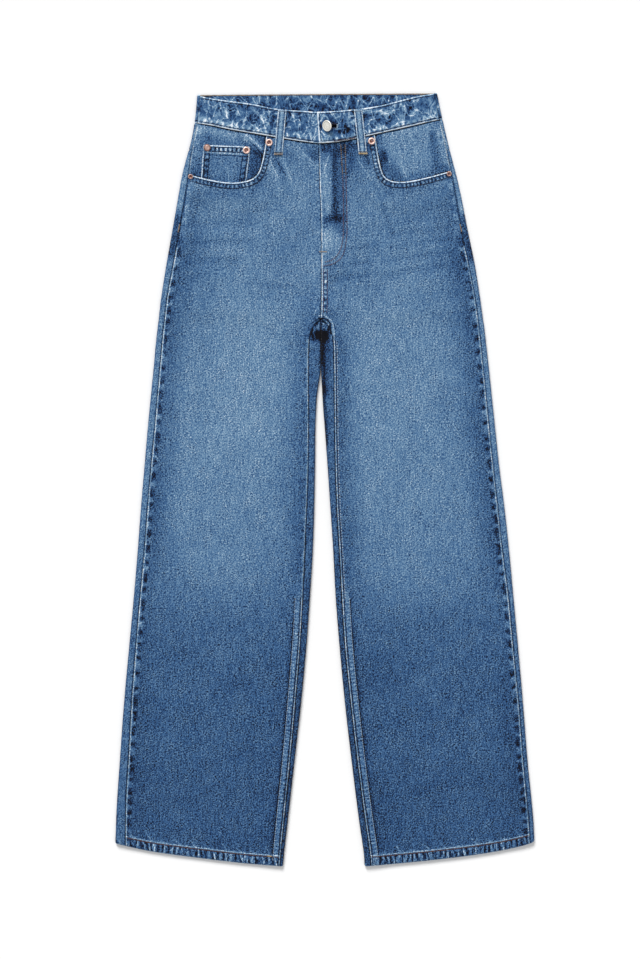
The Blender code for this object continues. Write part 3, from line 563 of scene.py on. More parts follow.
def thread_finish(name, colour, worn):
    """Spun thread: its twist, and where it has worn paler."""
    material, tree, shader = new_finish("thread_" + name)
    place = made(tree, "TexCoord", output="Object")
    twist = made(tree, "TexWave", {"Vector": place, "Scale": 900.0, "Distortion": 2.0}, "Fac")
    patch = made(tree, "TexNoise", {"Vector": place, "Scale": 160.0, "Detail": 2.0})
    feed(tree, shader, {"Base Color": blend(patch.step(0.35, 0.7), paint(*colour), paint(*worn)),
                        "Roughness": twist.step(0.0, 1.0, 0.55, 0.75), "Specular IOR Level": 0.3,
                        "Normal": bump(twist, 0.5, 0.0001)})
    return material


def metal_finish(name, bright, dull, roughness, metallic):
    """Plated metal: brushed and tarnished in its hollows."""
    material, tree, shader = new_finish(name)
    place = made(tree, "TexCoord", output="Object")
    stain = made(tree, "TexNoise", {"Vector": place, "Scale": 420.0, "Detail": 4.0, "Roughness": 0.6})
    brushed = place.stretched((900.0, 3500.0, 900.0))
    scratch = made(tree, "TexNoise", {"Vector": brushed, "Scale": 1.0, "Detail": 2.0})
    hollow = mark(tree, "hollow") * 0.85
    tarnish = stain.step(0.45, 0.75, 0.0, 0.35).sums("ADD", hollow, clamp=True)
    feed(tree, shader, {"Base Color": blend(tarnish, paint(*bright), paint(*dull)), "Metallic": metallic,
                        "Roughness": scratch.step(0.2, 0.8, roughness - 0.08, roughness + 0.12),
                        "Normal": bump(scratch, 0.25, 0.0001)})
    return material


REVERSE_DENIM = denim_finish("denim_reverse", 1.1, shade=0.18, reverse=True)
FRONT_DENIM = (denim_finish("denim_front"), REVERSE_DENIM)
BACK_DENIM = (denim_finish("denim_back", 0.95), REVERSE_DENIM)
BAND_DENIM = (denim_finish("denim_band", 0.5, 0.62), denim_finish("denim_inside", 0.45, 0.48, reverse=True))
LOOP_DENIM = (denim_finish("denim_loop", 0.8),) * 2
PALE_METAL = metal_finish("pale_metal", (250, 248, 238), (170, 162, 144), 0.36, 0.30)
COPPER = metal_finish("copper", (252, 216, 202), (84, 28, 22), 0.34, 0.45)
THREADS = {name: thread_finish(name, colour, worn) for name, colour, worn in (
    ("tan", (158, 142, 124), (118, 108, 102)), ("rust", (70, 46, 44), (92, 66, 58)),
    ("stone", (126, 116, 110), (94, 92, 100)), ("dark", (36, 34, 44), (66, 60, 68)),
    ("plum", (74, 54, 72), (120, 108, 124)), ("pale", (172, 192, 208), (130, 152, 176)),
    ("gold", (168, 142, 98), (196, 178, 140)))}


# ---------------------------------------------------------------- wash, painted shade and creases

# How far the dye is gone down the legs: level, wash.
LEVEL_WASH = ((555, 0.5), (515, 0.52), (480, 0.49), (440, 0.54), (400, 0.555), (330, 0.56), (250, 0.59),
    (150, 0.61), (80, 0.61), (0, 0.595), (-60, 0.57), (-120, 0.525), (-170, 0.44), (-220, 0.37),
    (-280, 0.33), (-350, 0.31), (-450, 0.285), (-554, 0.27))

# Places washed paler or left darker: across, level, reach, change of wash.
WASH_SPOTS = ((-121, 113, 80, 0.06), (-95, 215, 60, 0.03), (105, 165, 75, 0.025), (95, 20, 70, 0.01),
    (-30, 392, 28, 0.04), (-14, 462, 10, -0.26), (62, 455, 24, -0.07), (40, 430, 20, -0.05),
    (140, 370, 50, -0.04), (38, 288, 24, -0.06), (158, 285, 20, -0.05), (-57, 320, 20, -0.05),
    (-107, 224, 35, 0.03), (132, 41, 22, -0.05), (186, 77, 25, -0.05), (-71, 13, 22, -0.04),
    (-157, -144, 30, 0.03), (93, -144, 30, 0.035), (-100, -194, 22, -0.04), (-93, -295, 24, -0.045),
    (96, -287, 26, -0.03), (-54, 467, 8, -0.12), (-210, 323, 8, 0.16), (198, 322, 9, 0.16),
    (-150, -60, 60, 0.02), (-172, 297, 26, -0.09), (-147, -137, 35, 0.05), (86, -262, 32, -0.05),
    (108, -488, 30, -0.05), (130, -140, 35, 0.03))

# Soft creases of the upper side, from one point to another: across, level, across, level, width,
# height, change of wash.
CREASES = ((-190, 385, -120, 372, 7, 0.35, 0.03), (-185, 352, -95, 345, 9, 0.45, 0.03),
    (-150, 318, -60, 322, 8, 0.35, 0.025), (-205, 300, -150, 292, 10, 0.4, 0.02),
    (-90, 268, -25, 262, 7, -0.35, -0.02), (-120, 240, -40, 214, 12, 0.5, 0.02),
    (-60, 196, -28, 170, 9, -0.5, -0.03), (-222, 150, -190, 60, 11, 0.45, 0.02),
    (-150, 60, -70, 40, 16, 0.4, 0.01), (-215, -20, -205, -130, 14, 0.4, 0.01),
    (-100, -70, -40, -140, 13, -0.4, -0.01), (-200, -190, -90, -205, 20, 0.45, 0),
    (-240, -260, -225, -400, 16, 0.45, 0.01), (-130, -300, -120, -470, 22, 0.5, 0),
    (-95, -420, -75, -540, 12, -0.35, -0.01), (50, 372, 150, 358, 8, 0.4, 0.03),
    (60, 336, 185, 330, 9, 0.45, 0.025), (30, 300, 120, 304, 8, 0.35, 0.02),
    (130, 285, 200, 276, 10, 0.4, 0.02), (20, 262, 75, 250, 7, -0.35, -0.03),
    (30, 214, 110, 236, 12, 0.5, 0.03), (16, 168, 50, 196, 9, -0.5, -0.02),
    (205, 140, 180, 50, 12, 0.45, 0.02), (60, 60, 150, 40, 17, 0.4, 0.01),
    (215, -10, 200, -120, 13, 0.4, 0.01), (35, -90, 95, -130, 14, -0.4, -0.01),
    (90, -195, 215, -180, 20, 0.45, 0), (240, -240, 228, -390, 15, 0.45, 0.01),
    (125, -290, 140, -480, 22, 0.5, 0), (80, -430, 70, -530, 12, -0.35, -0.01),
    (-196, 364, -112, 368, 3.8, -0.1, -0.085), (-190, 337, -108, 341, 3.8, -0.12, -0.102),
    (-186, 311, -122, 316, 3.8, -0.1, -0.085), (-112, 281, -44, 274, 3.8, -0.12, -0.093),
    (-104, 262, -52, 256, 3.8, -0.1, -0.076), (98, 350, 178, 360, 3.8, -0.1, -0.076),
    (94, 331, 180, 343, 3.8, -0.12, -0.102), (90, 312, 178, 325, 3.8, -0.12, -0.102),
    (84, 292, 172, 306, 3.8, -0.1, -0.093), (20, 326, 70, 333, 3.8, -0.1, -0.102),
    (18, 305, 66, 311, 3.8, -0.12, -0.119), (18, 286, 62, 291, 3.8, -0.1, -0.102),
    (72, 420, 97, 350, 3.8, -0.12, -0.136), (94, 366, 180, 374, 4.5, -0.1, -0.05),
    (-184, 396, -188, 370, 8, -0.1, -0.08), (24, 200, 28, 60, 9, 0, -0.06),
    (-172, 258, -178, 92, 16, -0.1, -0.04), (158, 258, 166, 92, 16, -0.1, -0.045),
    (-62, 170, -64, 22, 15, -0.1, -0.03), (186, 105, 190, -75, 16, -0.1, -0.03))

# Worn and unworn stripes over the fly and below the waist, in the same form; the dark ones right
# beside the front loops are painted shadow of the loops.
WAIST_STRIPES = ((3.5, 446, 4.5, 330, 4.6, 0.3, 0.07), (14.6, 462, 15, 374, 5.2, -0.35, -0.46),
    (36.5, 476, 37, 456, 6, 0, -0.15), (25, 468, 25, 374, 6, 0, -0.13),
    (-0.5, 448, -0.5, 388, 2.6, 0.15, 0.1), (3, 369, 20, 371, 7, -0.1, -0.44),
    (18, 360, 25, 351, 5, 0, -0.24), (7.6, 428, 7.6, 388, 2.4, 0.15, 0.12),
    (-76, 468, -80, 446, 5, 0.1, 0.18), (68, 468, 73, 446, 5, 0.1, 0.18),
    (-196, 424, -174, 417, 7, 0.1, 0.16), (160, 421, 186, 424, 7, 0.1, 0.16),
    (1.5, 352, 2, 326, 3.4, 0.1, 0.22), (9, 348, 9.5, 330, 3, 0.1, 0.16),
    (17, 348, 18, 322, 3.2, 0.1, 0.14), (10, 304, 12, 284, 6, 0, -0.12), (30, 479, 46, 475, 5, 0, -0.28),
    (0, 473, 22, 471, 7, 0, -0.38), (23.5, 474, 26, 436, 2.6, 0.1, -0.18),
    (30.5, 474, 31.5, 432, 2.4, 0.1, -0.16), (26.5, 430, 28.5, 352, 3.6, 0.1, -0.2),
    (42, 462, 36, 440, 6, 0, -0.16), (60, 476, 62, 452, 4, 0, -0.34), (68, 462, 78, 398, 6, 0.25, 0.07),
    (-62, 458, -30, 400, 5, 0.2, 0.06), (-50, 476, -14, 446, 4.5, 0.15, 0.14),
    (-74.5, 470, -74, 446, 4, -0.15, -0.24), (-68, 452, -58, 428, 3, -0.15, -0.18),
    (-77, 448, -62, 412, 3.6, 0.2, 0.12), (-86, 432, -100, 412, 6, 0, -0.14),
    (-190, 410, -100, 404, 6, 0, -0.07), (90, 410, 176, 418, 6, 0, -0.07))

# Creases of the underside, without the wash; they are hollows, because it lies flat.
UNDER_CREASES = ((-180, 350, -70, 330, 10, 0.5), (-60, 300, -20, 262, 9, 0.6),
    (-200, 240, -90, 222, 14, 0.6), (-150, 120, -60, 150, 18, 0.5), (-215, 30, -190, -90, 12, 0.5),
    (-120, -120, -60, -180, 16, 0.6), (-230, -230, -150, -250, 15, 0.5), (-160, -320, -140, -500, 20, 0.5),
    (50, 330, 170, 352, 10, 0.5), (15, 258, 60, 300, 9, 0.6), (80, 228, 195, 236, 14, 0.6),
    (50, 140, 140, 110, 18, 0.5), (190, 20, 205, -100, 12, 0.5), (60, -170, 130, -130, 16, 0.6),
    (150, -240, 230, -225, 15, 0.5), (140, -330, 165, -490, 20, 0.5))

# Worn and unworn patches of the front waistband, in the same form without the height.
BAND_PATCHES = ((-175.7, 534.8, -174.8, 526.2, 4.2, -0.12), (-164.1, 519.1, -162.7, 514.8, 3.5, -0.15),
    (-134.1, 530.5, -131.9, 521.9, 4.5, -0.22), (-119.9, 537, -119, 532, 4, -0.2),
    (-102.6, 516.2, -99.7, 509.1, 4.5, -0.22), (-109.8, 522.7, -106.9, 517.7, 3.5, -0.15),
    (-50.6, 526.2, -51.8, 511.9, 3.2, -0.34), (-74.6, 516.2, -75.4, 503.4, 4.2, -0.22),
    (-45.4, 503.4, -44, 499.1, 3.5, -0.15), (-35.4, 516.2, -34, 509.1, 3.5, -0.12),
    (35.2, 510.5, 35.2, 493.3, 6, -0.22), (29, 527.7, 39, 524.8, 3.5, -0.15),
    (59, 519.1, 67.6, 520.5, 3.2, -0.2), (94.7, 514.8, 101.9, 518.4, 4, -0.25),
    (107.6, 523.4, 113.3, 524.8, 3.5, -0.2), (119, 532, 123.3, 529.1, 3.5, -0.2),
    (146.2, 533.4, 147.6, 529.1, 3.5, -0.2), (141.9, 521.9, 144.8, 519.8, 3.5, -0.2),
    (156.2, 537.7, 156.9, 533.4, 3, -0.2), (87.6, 506.2, 93.3, 507.6, 3.5, -0.2),
    (-5.4, 521.9, -5.4, 490.5, 3.5, 0.14), (-1.1, 491.9, 8.9, 493.3, 4, 0.16),
    (-167, 529.1, -165.5, 517.7, 3.5, 0.12), (-155.5, 524.8, -154.1, 514.8, 3.5, 0.1),
    (110.5, 516.2, 106.2, 511.9, 5, 0.14), (127.6, 523.4, 131.9, 517.7, 5, 0.1),
    (-35.4, 506.2, -26.8, 494.8, 5, 0.1), (-69.7, 507.6, -69.7, 497.6, 3.5, 0.1),
    (10, 512, 26, 490, 7, -0.16), (24, 515, 34, 488, 6, -0.16), (66, 508, 76, 512, 6, -0.18),
    (2, 486, 14, 486, 5, -0.15), (-21, 520, -19, 512, 6, 0.12), (-183, 536, -176, 508, 7, 0.14),
    (150, 540, 162, 530, 8, 0.12), (150, 524, 168, 514, 7, 0.12))

# Those of the narrow strips beside the seams, in the same form; the darkest, in the deep hollow where
# the leg seams cross and down the slit between the legs, are painted shade.
SEAM_WEAR_AND_SHADE = ((-209, 374, -219, 322, 5.4, -0.38), (198, 372, 209, 316, 5.4, -0.38),
    (-9.6, 206.5, 0.6, 206.5, 5.3, -1.15), (-6, 201, 0, 200, 4.4, -0.55), (7, 200, 5, 120, 5, -0.08),
    (-16, 212, -15, 200, 4.4, -0.26), (-1.2, 198, -1.8, 168, 4.4, -0.34), (-3.2, 198, -3.2, 166, 2.4, -0.2),
    (-1.2, 162, -0.8, 124, 3, -0.46), (-0.6, 120, 3, 50, 2.6, -0.36), (-2, 222, 4, 222, 7, -0.2))

# Single creases, each a change of wash and its points: the front waistband's, those where the leg
# seams cross, whose dark ones are painted shade in the crossing's crevices, and those beside the loops
# and the fly.
BAND_LINES = ((0.45, ((-159.2, 516.4), (-153.8, 533.8))), (0.4, ((-145.1, 533.8), (-138.5, 515.2))),
    (0.38, ((-126.5, 530.5), (-119.9, 517.7))), (0.4, ((-110, 526.2), (-114.5, 510.9))),
    (0.45, ((-98, 527.7), (-88.3, 513.4))), (0.45, ((-99.7, 525.1), (-87.7, 510.9), (-83.3, 495.6))),
    (0.35, ((-99.7, 504.8), (-94.3, 497.6))), (0.35, ((-45.4, 519.7), (-41.1, 502.2))),
    (0.3, ((-29.7, 521.9), (-24, 510.5))), (0.35, ((-16.8, 504.8), (-23.1, 493.3))),
    (0.45, ((11.2, 521.9), (19.9, 507.6))), (0.4, ((22.1, 521.9), (27.5, 514.2), (26.5, 502.2))),
    (0.4, ((26.5, 509.8), (34.2, 506.5))), (0.4, ((15.5, 499.1), (27.5, 499.9))),
    (0.35, ((35.2, 523.4), (34.7, 516.2))), (0.4, ((58.3, 521.9), (84.7, 527.7))),
    (0.35, ((62.7, 511.9), (80.2, 516.2))), (0.35, ((69, 497.6), (84.7, 501.9))),
    (0.4, ((79, 519.7), (89.9, 525.1), (106.2, 527.7))),
    (0.4, ((95.5, 502.2), (106.2, 509.1), (117.3, 510.9))), (0.35, ((122.8, 517.7), (131.5, 527.7))),
    (0.35, ((135.9, 519.7), (149.1, 514.2))), (-0.3, ((-169.1, 536.2), (-165.5, 523.4))),
    (-0.3, ((-151.2, 530.5), (-146.9, 519.1))), (-0.3, ((-81.2, 519.1), (-77.6, 504.8))),
    (-0.3, ((-37.5, 521.9), (-33.2, 507.6))), (-0.3, ((-19.7, 520.5), (-16.1, 511.9))),
    (-0.3, ((16.1, 518.4), (23.2, 506.9))), (-0.35, ((89, 516.9), (103.3, 521.2))),
    (-0.35, ((63.3, 518.4), (76.1, 520.8))), (-0.3, ((114.8, 519.1), (123.3, 523.4))),
    (-0.3, ((86.2, 507.6), (94.7, 511.9))))
CROTCH_LINES = (
    (0.5, ((-8.5, 232.6), (-3, 233), (3.2, 231.4), (9, 227), (11.8, 221), (13, 213), (13.6, 200))),
    (-0.7, ((-8, 229.4), (-1, 229.4), (4.8, 226.6), (7.6, 221.6), (8.2, 214.5), (8.2, 207.3))),
    (0.5, ((-7.7, 227.4), (-8.2, 220.2), (-10.7, 213.8))), (0.55, ((-3.5, 222.7), (-1.1, 221.2))),
    (0.5, ((-5.4, 216.2), (-0.4, 216.2))), (0.3, ((2.2, 225.2), (3.5, 219.5), (1.5, 213.1))),
    (0.5, ((6.9, 224.5), (5.6, 219.1))), (0.35, ((10.9, 218.8), (11.2, 207.3), (8.9, 198.8))),
    (-0.6, ((-10.4, 223.8), (-13.2, 218.8))), (0.4, ((-14.1, 217.4), (-15.9, 208.8), (-13.5, 201.6))),
    (-0.5, ((-17.8, 215.9), (-18.4, 205.9), (-16.2, 198.8))), (-0.8, ((5.9, 217.4), (4.6, 211.6))),
    (-0.35, ((-7.5, 230.2), (-13.9, 225.9), (-18.9, 221.6))), (0.3, ((-9.7, 246), (-16.1, 233.8))))
WAIST_LINES = ((0.3, ((-78.3, 457.6), (-74.4, 446.2), (-66.5, 430.4))),
    (-0.35, ((-70.5, 459), (-64, 446.5), (-56, 434))), (0.22, ((-62, 458.5), (-55, 446), (-47, 424))),
    (0.3, ((-40, 478), (-31, 466), (-15.5, 451.5))), (0.3, ((-4.5, 467.5), (-1, 462.5))),
    (0.35, ((5.5, 461), (1, 446), (-1.5, 440))), (0.3, ((24, 427), (27, 420), (29, 414))),
    (0.25, ((46, 458), (58, 440), (66, 428))))

# The inner face of the back waistband has worn in strokes that lean to and fro.
BACK_BAND_STROKES = ((-121, 547, -110, 537.1), (-103.5, 543.7, -96.9, 533.8), (-94.3, 547, -93.3, 536.2),
    (-144.1, 546.3, -136.9, 540.5), (-134.1, 540.5, -126.9, 546.3), (-159.8, 547, -154.1, 542.7),
    (-81.2, 547, -81.9, 540.5), (-69.1, 547, -68.9, 534.8), (-52.7, 547, -48.3, 528.4),
    (-52.7, 546.3, -56.6, 540.5), (-38.5, 547, -34, 540.5), (-34, 540.5, -25.4, 529.8),
    (-18.2, 539.8, -25.1, 527.7), (-19.9, 547, -14.4, 540.5), (-11.8, 543.4, -5.4, 539.8),
    (4.6, 547, 1.4, 539.1), (1.4, 539.1, 11.2, 527.4), (18.9, 542.7, 12.1, 527.7),
    (21.1, 546.3, 22.5, 540.5), (22.5, 540.5, 28.7, 527.7), (33.1, 546.3, 32.1, 536.2),
    (32.1, 536.2, 29.2, 527.7), (49.5, 545.5, 45.7, 531.2), (50.4, 544.8, 60.4, 534.8),
    (70.3, 546.3, 63.7, 534.8), (71.1, 546.3, 71.4, 536.2), (83.9, 547, 81.2, 536.2),
    (84.4, 544.8, 88.3, 537.7), (91.2, 539.1, 92.6, 545.5), (101.9, 547, 102.7, 540.5),
    (114.8, 547, 118.3, 543.4), (126.2, 546.3, 123.3, 542.7))

level_wash = gentle_line(LEVEL_WASH)


def ridges(rows, x, y, column=-1):
    """The sum of soft ridges, each from one point to another, with a width and, in the column, a size."""
    total = np.zeros(np.shape(x))
    for row in rows:
        if row[column] != 0.0:
            total += row[column] * bell(nearest((row[0:2], row[2:4]), x, y)[0], 0.0, row[4])
    return total


def nearest_line(rows, x, y):
    """Distance to the nearest of the single creases, positive on one side, and its change of wash."""
    best = np.full(np.shape(x), FAR)
    tone = np.zeros(np.shape(x))
    for change, points in rows:
        last = len(points) - 2
        for step, ((x0, y0), (x1, y1)) in enumerate(zip(points, points[1:])):
            length = math.hypot(x1 - x0, y1 - y0)
            run = ((x - x0) * (x1 - x0) + (y - y0) * (y1 - y0)) / length
            away = nearest(((x0, y0), (x1, y1)), x, y)[0]
            side = (x - x0) * (y1 - y0) - (y - y0) * (x1 - x0)
            beyond = np.maximum(-run if step == 0 else -FAR, run - length if step == last else -FAR)
            closer = away < np.abs(best)
            best = np.where(closer, np.copysign(away, side), best)
            tone = np.where(closer, change * fade(beyond, 2.0, -0.5), tone)
    return best, tone * fade(np.abs(best), 4.6, 3.0)


def leg_wash(leg, x, y):
    """How washed the upper side of a leg is."""
    outer, inner = (0.26, 0.29) if leg.outward < 0.0 else (0.32, 0.25)
    outer = outer * (1.0 - 0.6 * fade(y, 320.0, 380.0)) * fade(np.abs(x - leg.outer_fold(y)), 66.0, 6.0)
    inner = inner * fade(np.abs(x - leg.inner_fold(y)), 60.0, 6.0) * fade(y, 300.0, 190.0)
    wash = level_wash(y) - (outer + inner) * (0.22 + 0.78 * fade(y, -210.0, -70.0))
    return wash + sum(spot(row, x, y) for row in WASH_SPOTS) + ridges(CREASES, x, y)


# ---------------------------------------------------------------- cloth

# A line of sewing at a panel's edge and what it does to the cloth beside it: pitch is the length
# of one pucker, teeth how strongly the puckers show in the wash, edge how worn the very edge is,
# or, below zero, how dark it is painted as shade in the seam's gap, rise how far the doubled cloth
# stands up, drawn how high the puckers are, and row and second where the two rows of stitching run,
# each darkened along its run as painted shade in its groove.
Seam = namedtuple("Seam", "line pitch teeth edge rise drawn row second",
                  defaults=(9.0, 0.0, 0.0, 0.0, 0.0, NO_ROW, NO_ROW))
SEAM_MARKS = ("wave", "teeth", "edge", "rise", "drawn", "row", "second", "reach")


def closer_marks(found, given):
    """The marks of whichever seam is nearer to each point."""
    closer = given["reach"] < found["reach"]
    return {title: np.where(closer, given.get(title, value), value) for title, value in found.items()}


def relief(found):
    """Height that seams give the cloth beside them: a rolled edge, a raised band and its puckers."""
    reach = found["reach"]
    wave = found["wave"]
    band = found["rise"] * fade(reach, 0.4, 2.4) * fade(reach, 13.0, 7.0)
    phase = math.tau * wave + 0.8 * np.sin(wave * 1.9) + 0.5 * np.sin(wave * 4.3)
    puckers = found["drawn"] * (0.5 + 0.5 * np.sin(phase)) * fade(reach, 0.8, 3.0) * np.exp(-reach / 9.0)
    return -0.45 * fade(reach, 1.4, 0.0) + band + puckers


class Panel:
    """A piece that lies face up: its face, the seams round it, how washed it is with any painted shade, and
    its creases.
    """

    def __init__(self, face, seams, wash, creases=(), lines=()):
        self.face = face
        self.seams = seams
        self.wash = wash
        self.creases = creases
        self.lines = lines

    def marks(self, x, y):
        """What the nearest seam gives each point."""
        found = dict.fromkeys(SEAM_MARKS, np.zeros(np.shape(x)))
        found["reach"] = np.full(np.shape(x), FAR)
        for seam in self.seams:
            reach, run = nearest(seam.line, x, y)
            found = closer_marks(found, {**seam._asdict(), "reach": reach, "wave": run / seam.pitch})
        return found

    def top(self, x, y, found=None):
        """Height of the finished upper face."""
        found = found or self.marks(x, y)
        return self.face(x, y) + relief(found) + ridges(self.creases, x, y, 5)

    def lay(self, x, y):
        """Places and marks of the panel's points."""
        found = self.marks(x, y)
        line, tone = nearest_line(self.lines, x, y)
        return {**found, "x": x, "y": y, "z": self.top(x, y, found), "wash": self.wash(x, y), "line": line,
                "tone": tone, "cloth": (x, y)}


def cloth_piece(name, columns, rows, lay, flat, area, finishes=FRONT_DENIM,
                wall=CLOTH):
    """A shell of cloth on a grid that stands for the CAD node of the same name.

    lay(column, row) gives each crossing of the grid its place and its marks.
    """
    mesh = bmesh.new()
    bmesh.ops.create_grid(mesh, x_segments=len(columns) - 1, y_segments=len(rows) - 1, size=0.5)
    data = bpy.data.meshes.new(name)
    mesh.to_mesh(data)
    mesh.free()
    grid = np.empty(len(data.vertices) * 3, np.float32)
    data.vertices.foreach_get("co", grid)
    grid = grid.reshape(-1, 3)[:, :2] + 0.5
    cell = np.rint(grid * (len(columns) - 1, len(rows) - 1)).astype(int)
    laid = lay(np.asarray(columns)[cell[:, 0]], np.asarray(rows)[cell[:, 1]])
    points = to_frame(laid["x"], laid["y"], laid["z"])
    data.vertices.foreach_set("co", points.astype(np.float32).ravel())
    cloth = np.column_stack((*laid["cloth"], np.zeros(len(points)))).astype(np.float32)
    data.attributes.new("cloth", "FLOAT_VECTOR", "POINT").data.foreach_set("vector", cloth.ravel())
    for title, missing in MARKS.items():
        values = np.broadcast_to(laid.get(title, missing), len(points)).astype(np.float32)
        data.attributes.new(title, "FLOAT", "POINT").data.foreach_set("value", values)
    data.shade_smooth()
    data.update()
    for finish in finishes:
        data.materials.append(finish)
    piece = bpy.data.objects.new(name + "_cloth", data)
    bpy.context.scene.collection.objects.link(piece)
    shell = piece.modifiers.new("wall", "SOLIDIFY")
    shell.thickness = wall * MM
    shell.offset = -1.0
    shell.use_quality_normals = True
    shell.material_offset = 1
    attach(piece, "root")
    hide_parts(name)
    return piece


HEM_RADIUS = HEM_WALL / 2.0
HEM_TURN = math.pi * HEM_RADIUS
HEM_ROWS = np.concatenate((np.linspace(-HEM_TURN - HEM_DEPTH + 1.0, -HEM_TURN, 5)[:-1],
                           np.linspace(-HEM_TURN, 0.0, 6)[:-1]))
TOP_START = MOUTH_SPLIT_Y - HEM_LEVEL - HEM_RADIUS
TOP_ROWS = 30


def turned_hem(travel):
    """Level and depth of the cloth by its travel over the hem's fold: above it, round it and up inside."""
    angle = np.clip(-travel / HEM_RADIUS, 0.0, math.pi)
    inside = np.maximum(-travel - HEM_TURN, 0.0)
    level = HEM_LEVEL + HEM_RADIUS + np.maximum(travel, 0.0) - HEM_RADIUS * np.sin(angle) + inside
    return level, HEM_RADIUS * (1.0 - np.cos(angle))


def front_seams(leg):
    """The seams round a front panel."""
    out = leg.outward
    laps = out > 0.0

    def side(level):
        return leg.side_seam(level) - out * SEAM_GAP

    hem = sorted((float(leg.outer_fold(HEM_LEVEL)), float(leg.inner_fold(HEM_LEVEL))))
    return [
        Seam(line_down(side, leg.mouth[0][1], 334.0), 20.0, 0.10, -0.30, 0.35, 0.5),
        Seam(line_down(side, 334.0, HEM_LEVEL), 20.0, 0.26, 0.58, 0.35, 0.5),
        Seam(line_down(leg.inseam, CROTCH_END, 200.0, 3.0), 12.0, 0.08, -0.10, 0.35, 0.45),
        Seam(line_down(leg.inseam, 200.0, -170.0, 4.0), 12.0, 0.08, 0.70 if laps else 0.50, 0.35, 0.45,
             2.9 if laps else NO_ROW),
        Seam(line_down(leg.inseam, -170.0, HEM_LEVEL), 5.6, 0.14, 0.80, 0.40, 0.45, 2.9, 11.6),
        Seam(line_down(front_centre, 479.5, 300.0), 14.0, 0.05, 0.60 if laps else -0.30,
             0.3 if laps else 0.0, 0.2),
        Seam(line_down(front_centre, 300.0, CROTCH_END, 6.0), 7.8, *(
            (0.34, 0.64, 0.5, 0.5, 2.8, 8.2) if laps else (0.05, -0.35, 0.5, 0.5))),
        # Painted shadow under the waistband's edge: the panel's top edge is painted dark.
        Seam(line_across(panel_top, leg.mouth[-1][0], -8.0), 10.0, 0.12, -0.75, 0.0, 0.4),
        Seam(leg.mouth, 5.2, 0.30, 0.74, 0.55, 0.45, 2.9, 8.5),
        Seam([(across, HEM_LEVEL) for across in hem], 7.8, 0.30, 0.30, 0.25, 0.7, second=12.6),
    ]


def beside_seams(leg, x, y):
    """How washed a front panel is beside its seams: darker in the mouth's and the hem's doubled cloth."""
    mouth = nearest(leg.mouth, x, y)[0]
    inseam = np.abs(x - leg.inseam(y))
    side = np.abs(x - leg.side_seam(y))
    low = fade(y, -120.0, -230.0)
    shade = -0.15 * fade(mouth, 2.0, 3.2) * fade(mouth, 10.6, 8.6)
    shade += 0.25 * fade(inseam, 3.4, 5.0) * fade(inseam, 10.4, 9.0) * low
    shade -= 0.16 * bell(inseam, 13.4, 1.8) * low
    if leg.outward < 0.0:
        shade += 0.18 * bell(inseam, 1.9, 1.3) * fade(y, 210.0, 195.0) * fade(y, -200.0, -150.0)
    shade += (0.23 * fade(y, 320.0, 380.0) - 0.10) * bell(side, 4.8, 3.2) * fade(y, 430.0, 415.0)
    shade += 0.22 * bell(side, 1.7, 0.9) * fade(y, 340.0, 325.0)
    return shade - 0.11 * fade(y, HEM_LEVEL + 13.5, HEM_LEVEL + 11.0)


def hem_strokes(leg):
    """Worn strokes across a hem, uneven in place, lean and strength, and the line over its stitching."""
    x, high = sorted((float(leg.outer_fold(HEM_LEVEL)), float(leg.inner_fold(HEM_LEVEL))))
    rows = [(0.62, ((x, HEM_LEVEL + 14.8), (high, HEM_LEVEL + 14.8)))]
    x += 4.0
    step = 0
    while x < high - 3.0:
        lean = 1.2 + 2.4 * math.sin(step * 2.7)
        strength = 0.42 + 0.16 * math.sin(step * 2.1)
        rows.append((strength, ((x + lean, HEM_LEVEL + 0.5), (x, HEM_LEVEL + 11.2))))
        if step % 3 == 0:
            rise = 21.0 + 5.0 * math.sin(step * 1.3)
            rows.append((0.30, ((x + 2.0, HEM_LEVEL + 16.5), (x - 5.0, HEM_LEVEL + rise))))
        x += 7.2 + 1.8 * math.sin(step * 1.7) + 0.8 * math.sin(step * 4.1)
        step += 1
    return tuple(rows)


def front_panel(leg):
    """A front leg panel, whose upper side shows."""
    return Panel(lambda x, y: front_face(leg, x, y), front_seams(leg),
                 lambda x, y: leg_wash(leg, x, y) + beside_seams(leg, x, y) + ridges(WAIST_STRIPES, x, y),
                 CREASES + WAIST_STRIPES, WAIST_LINES + CROTCH_LINES + hem_strokes(leg))


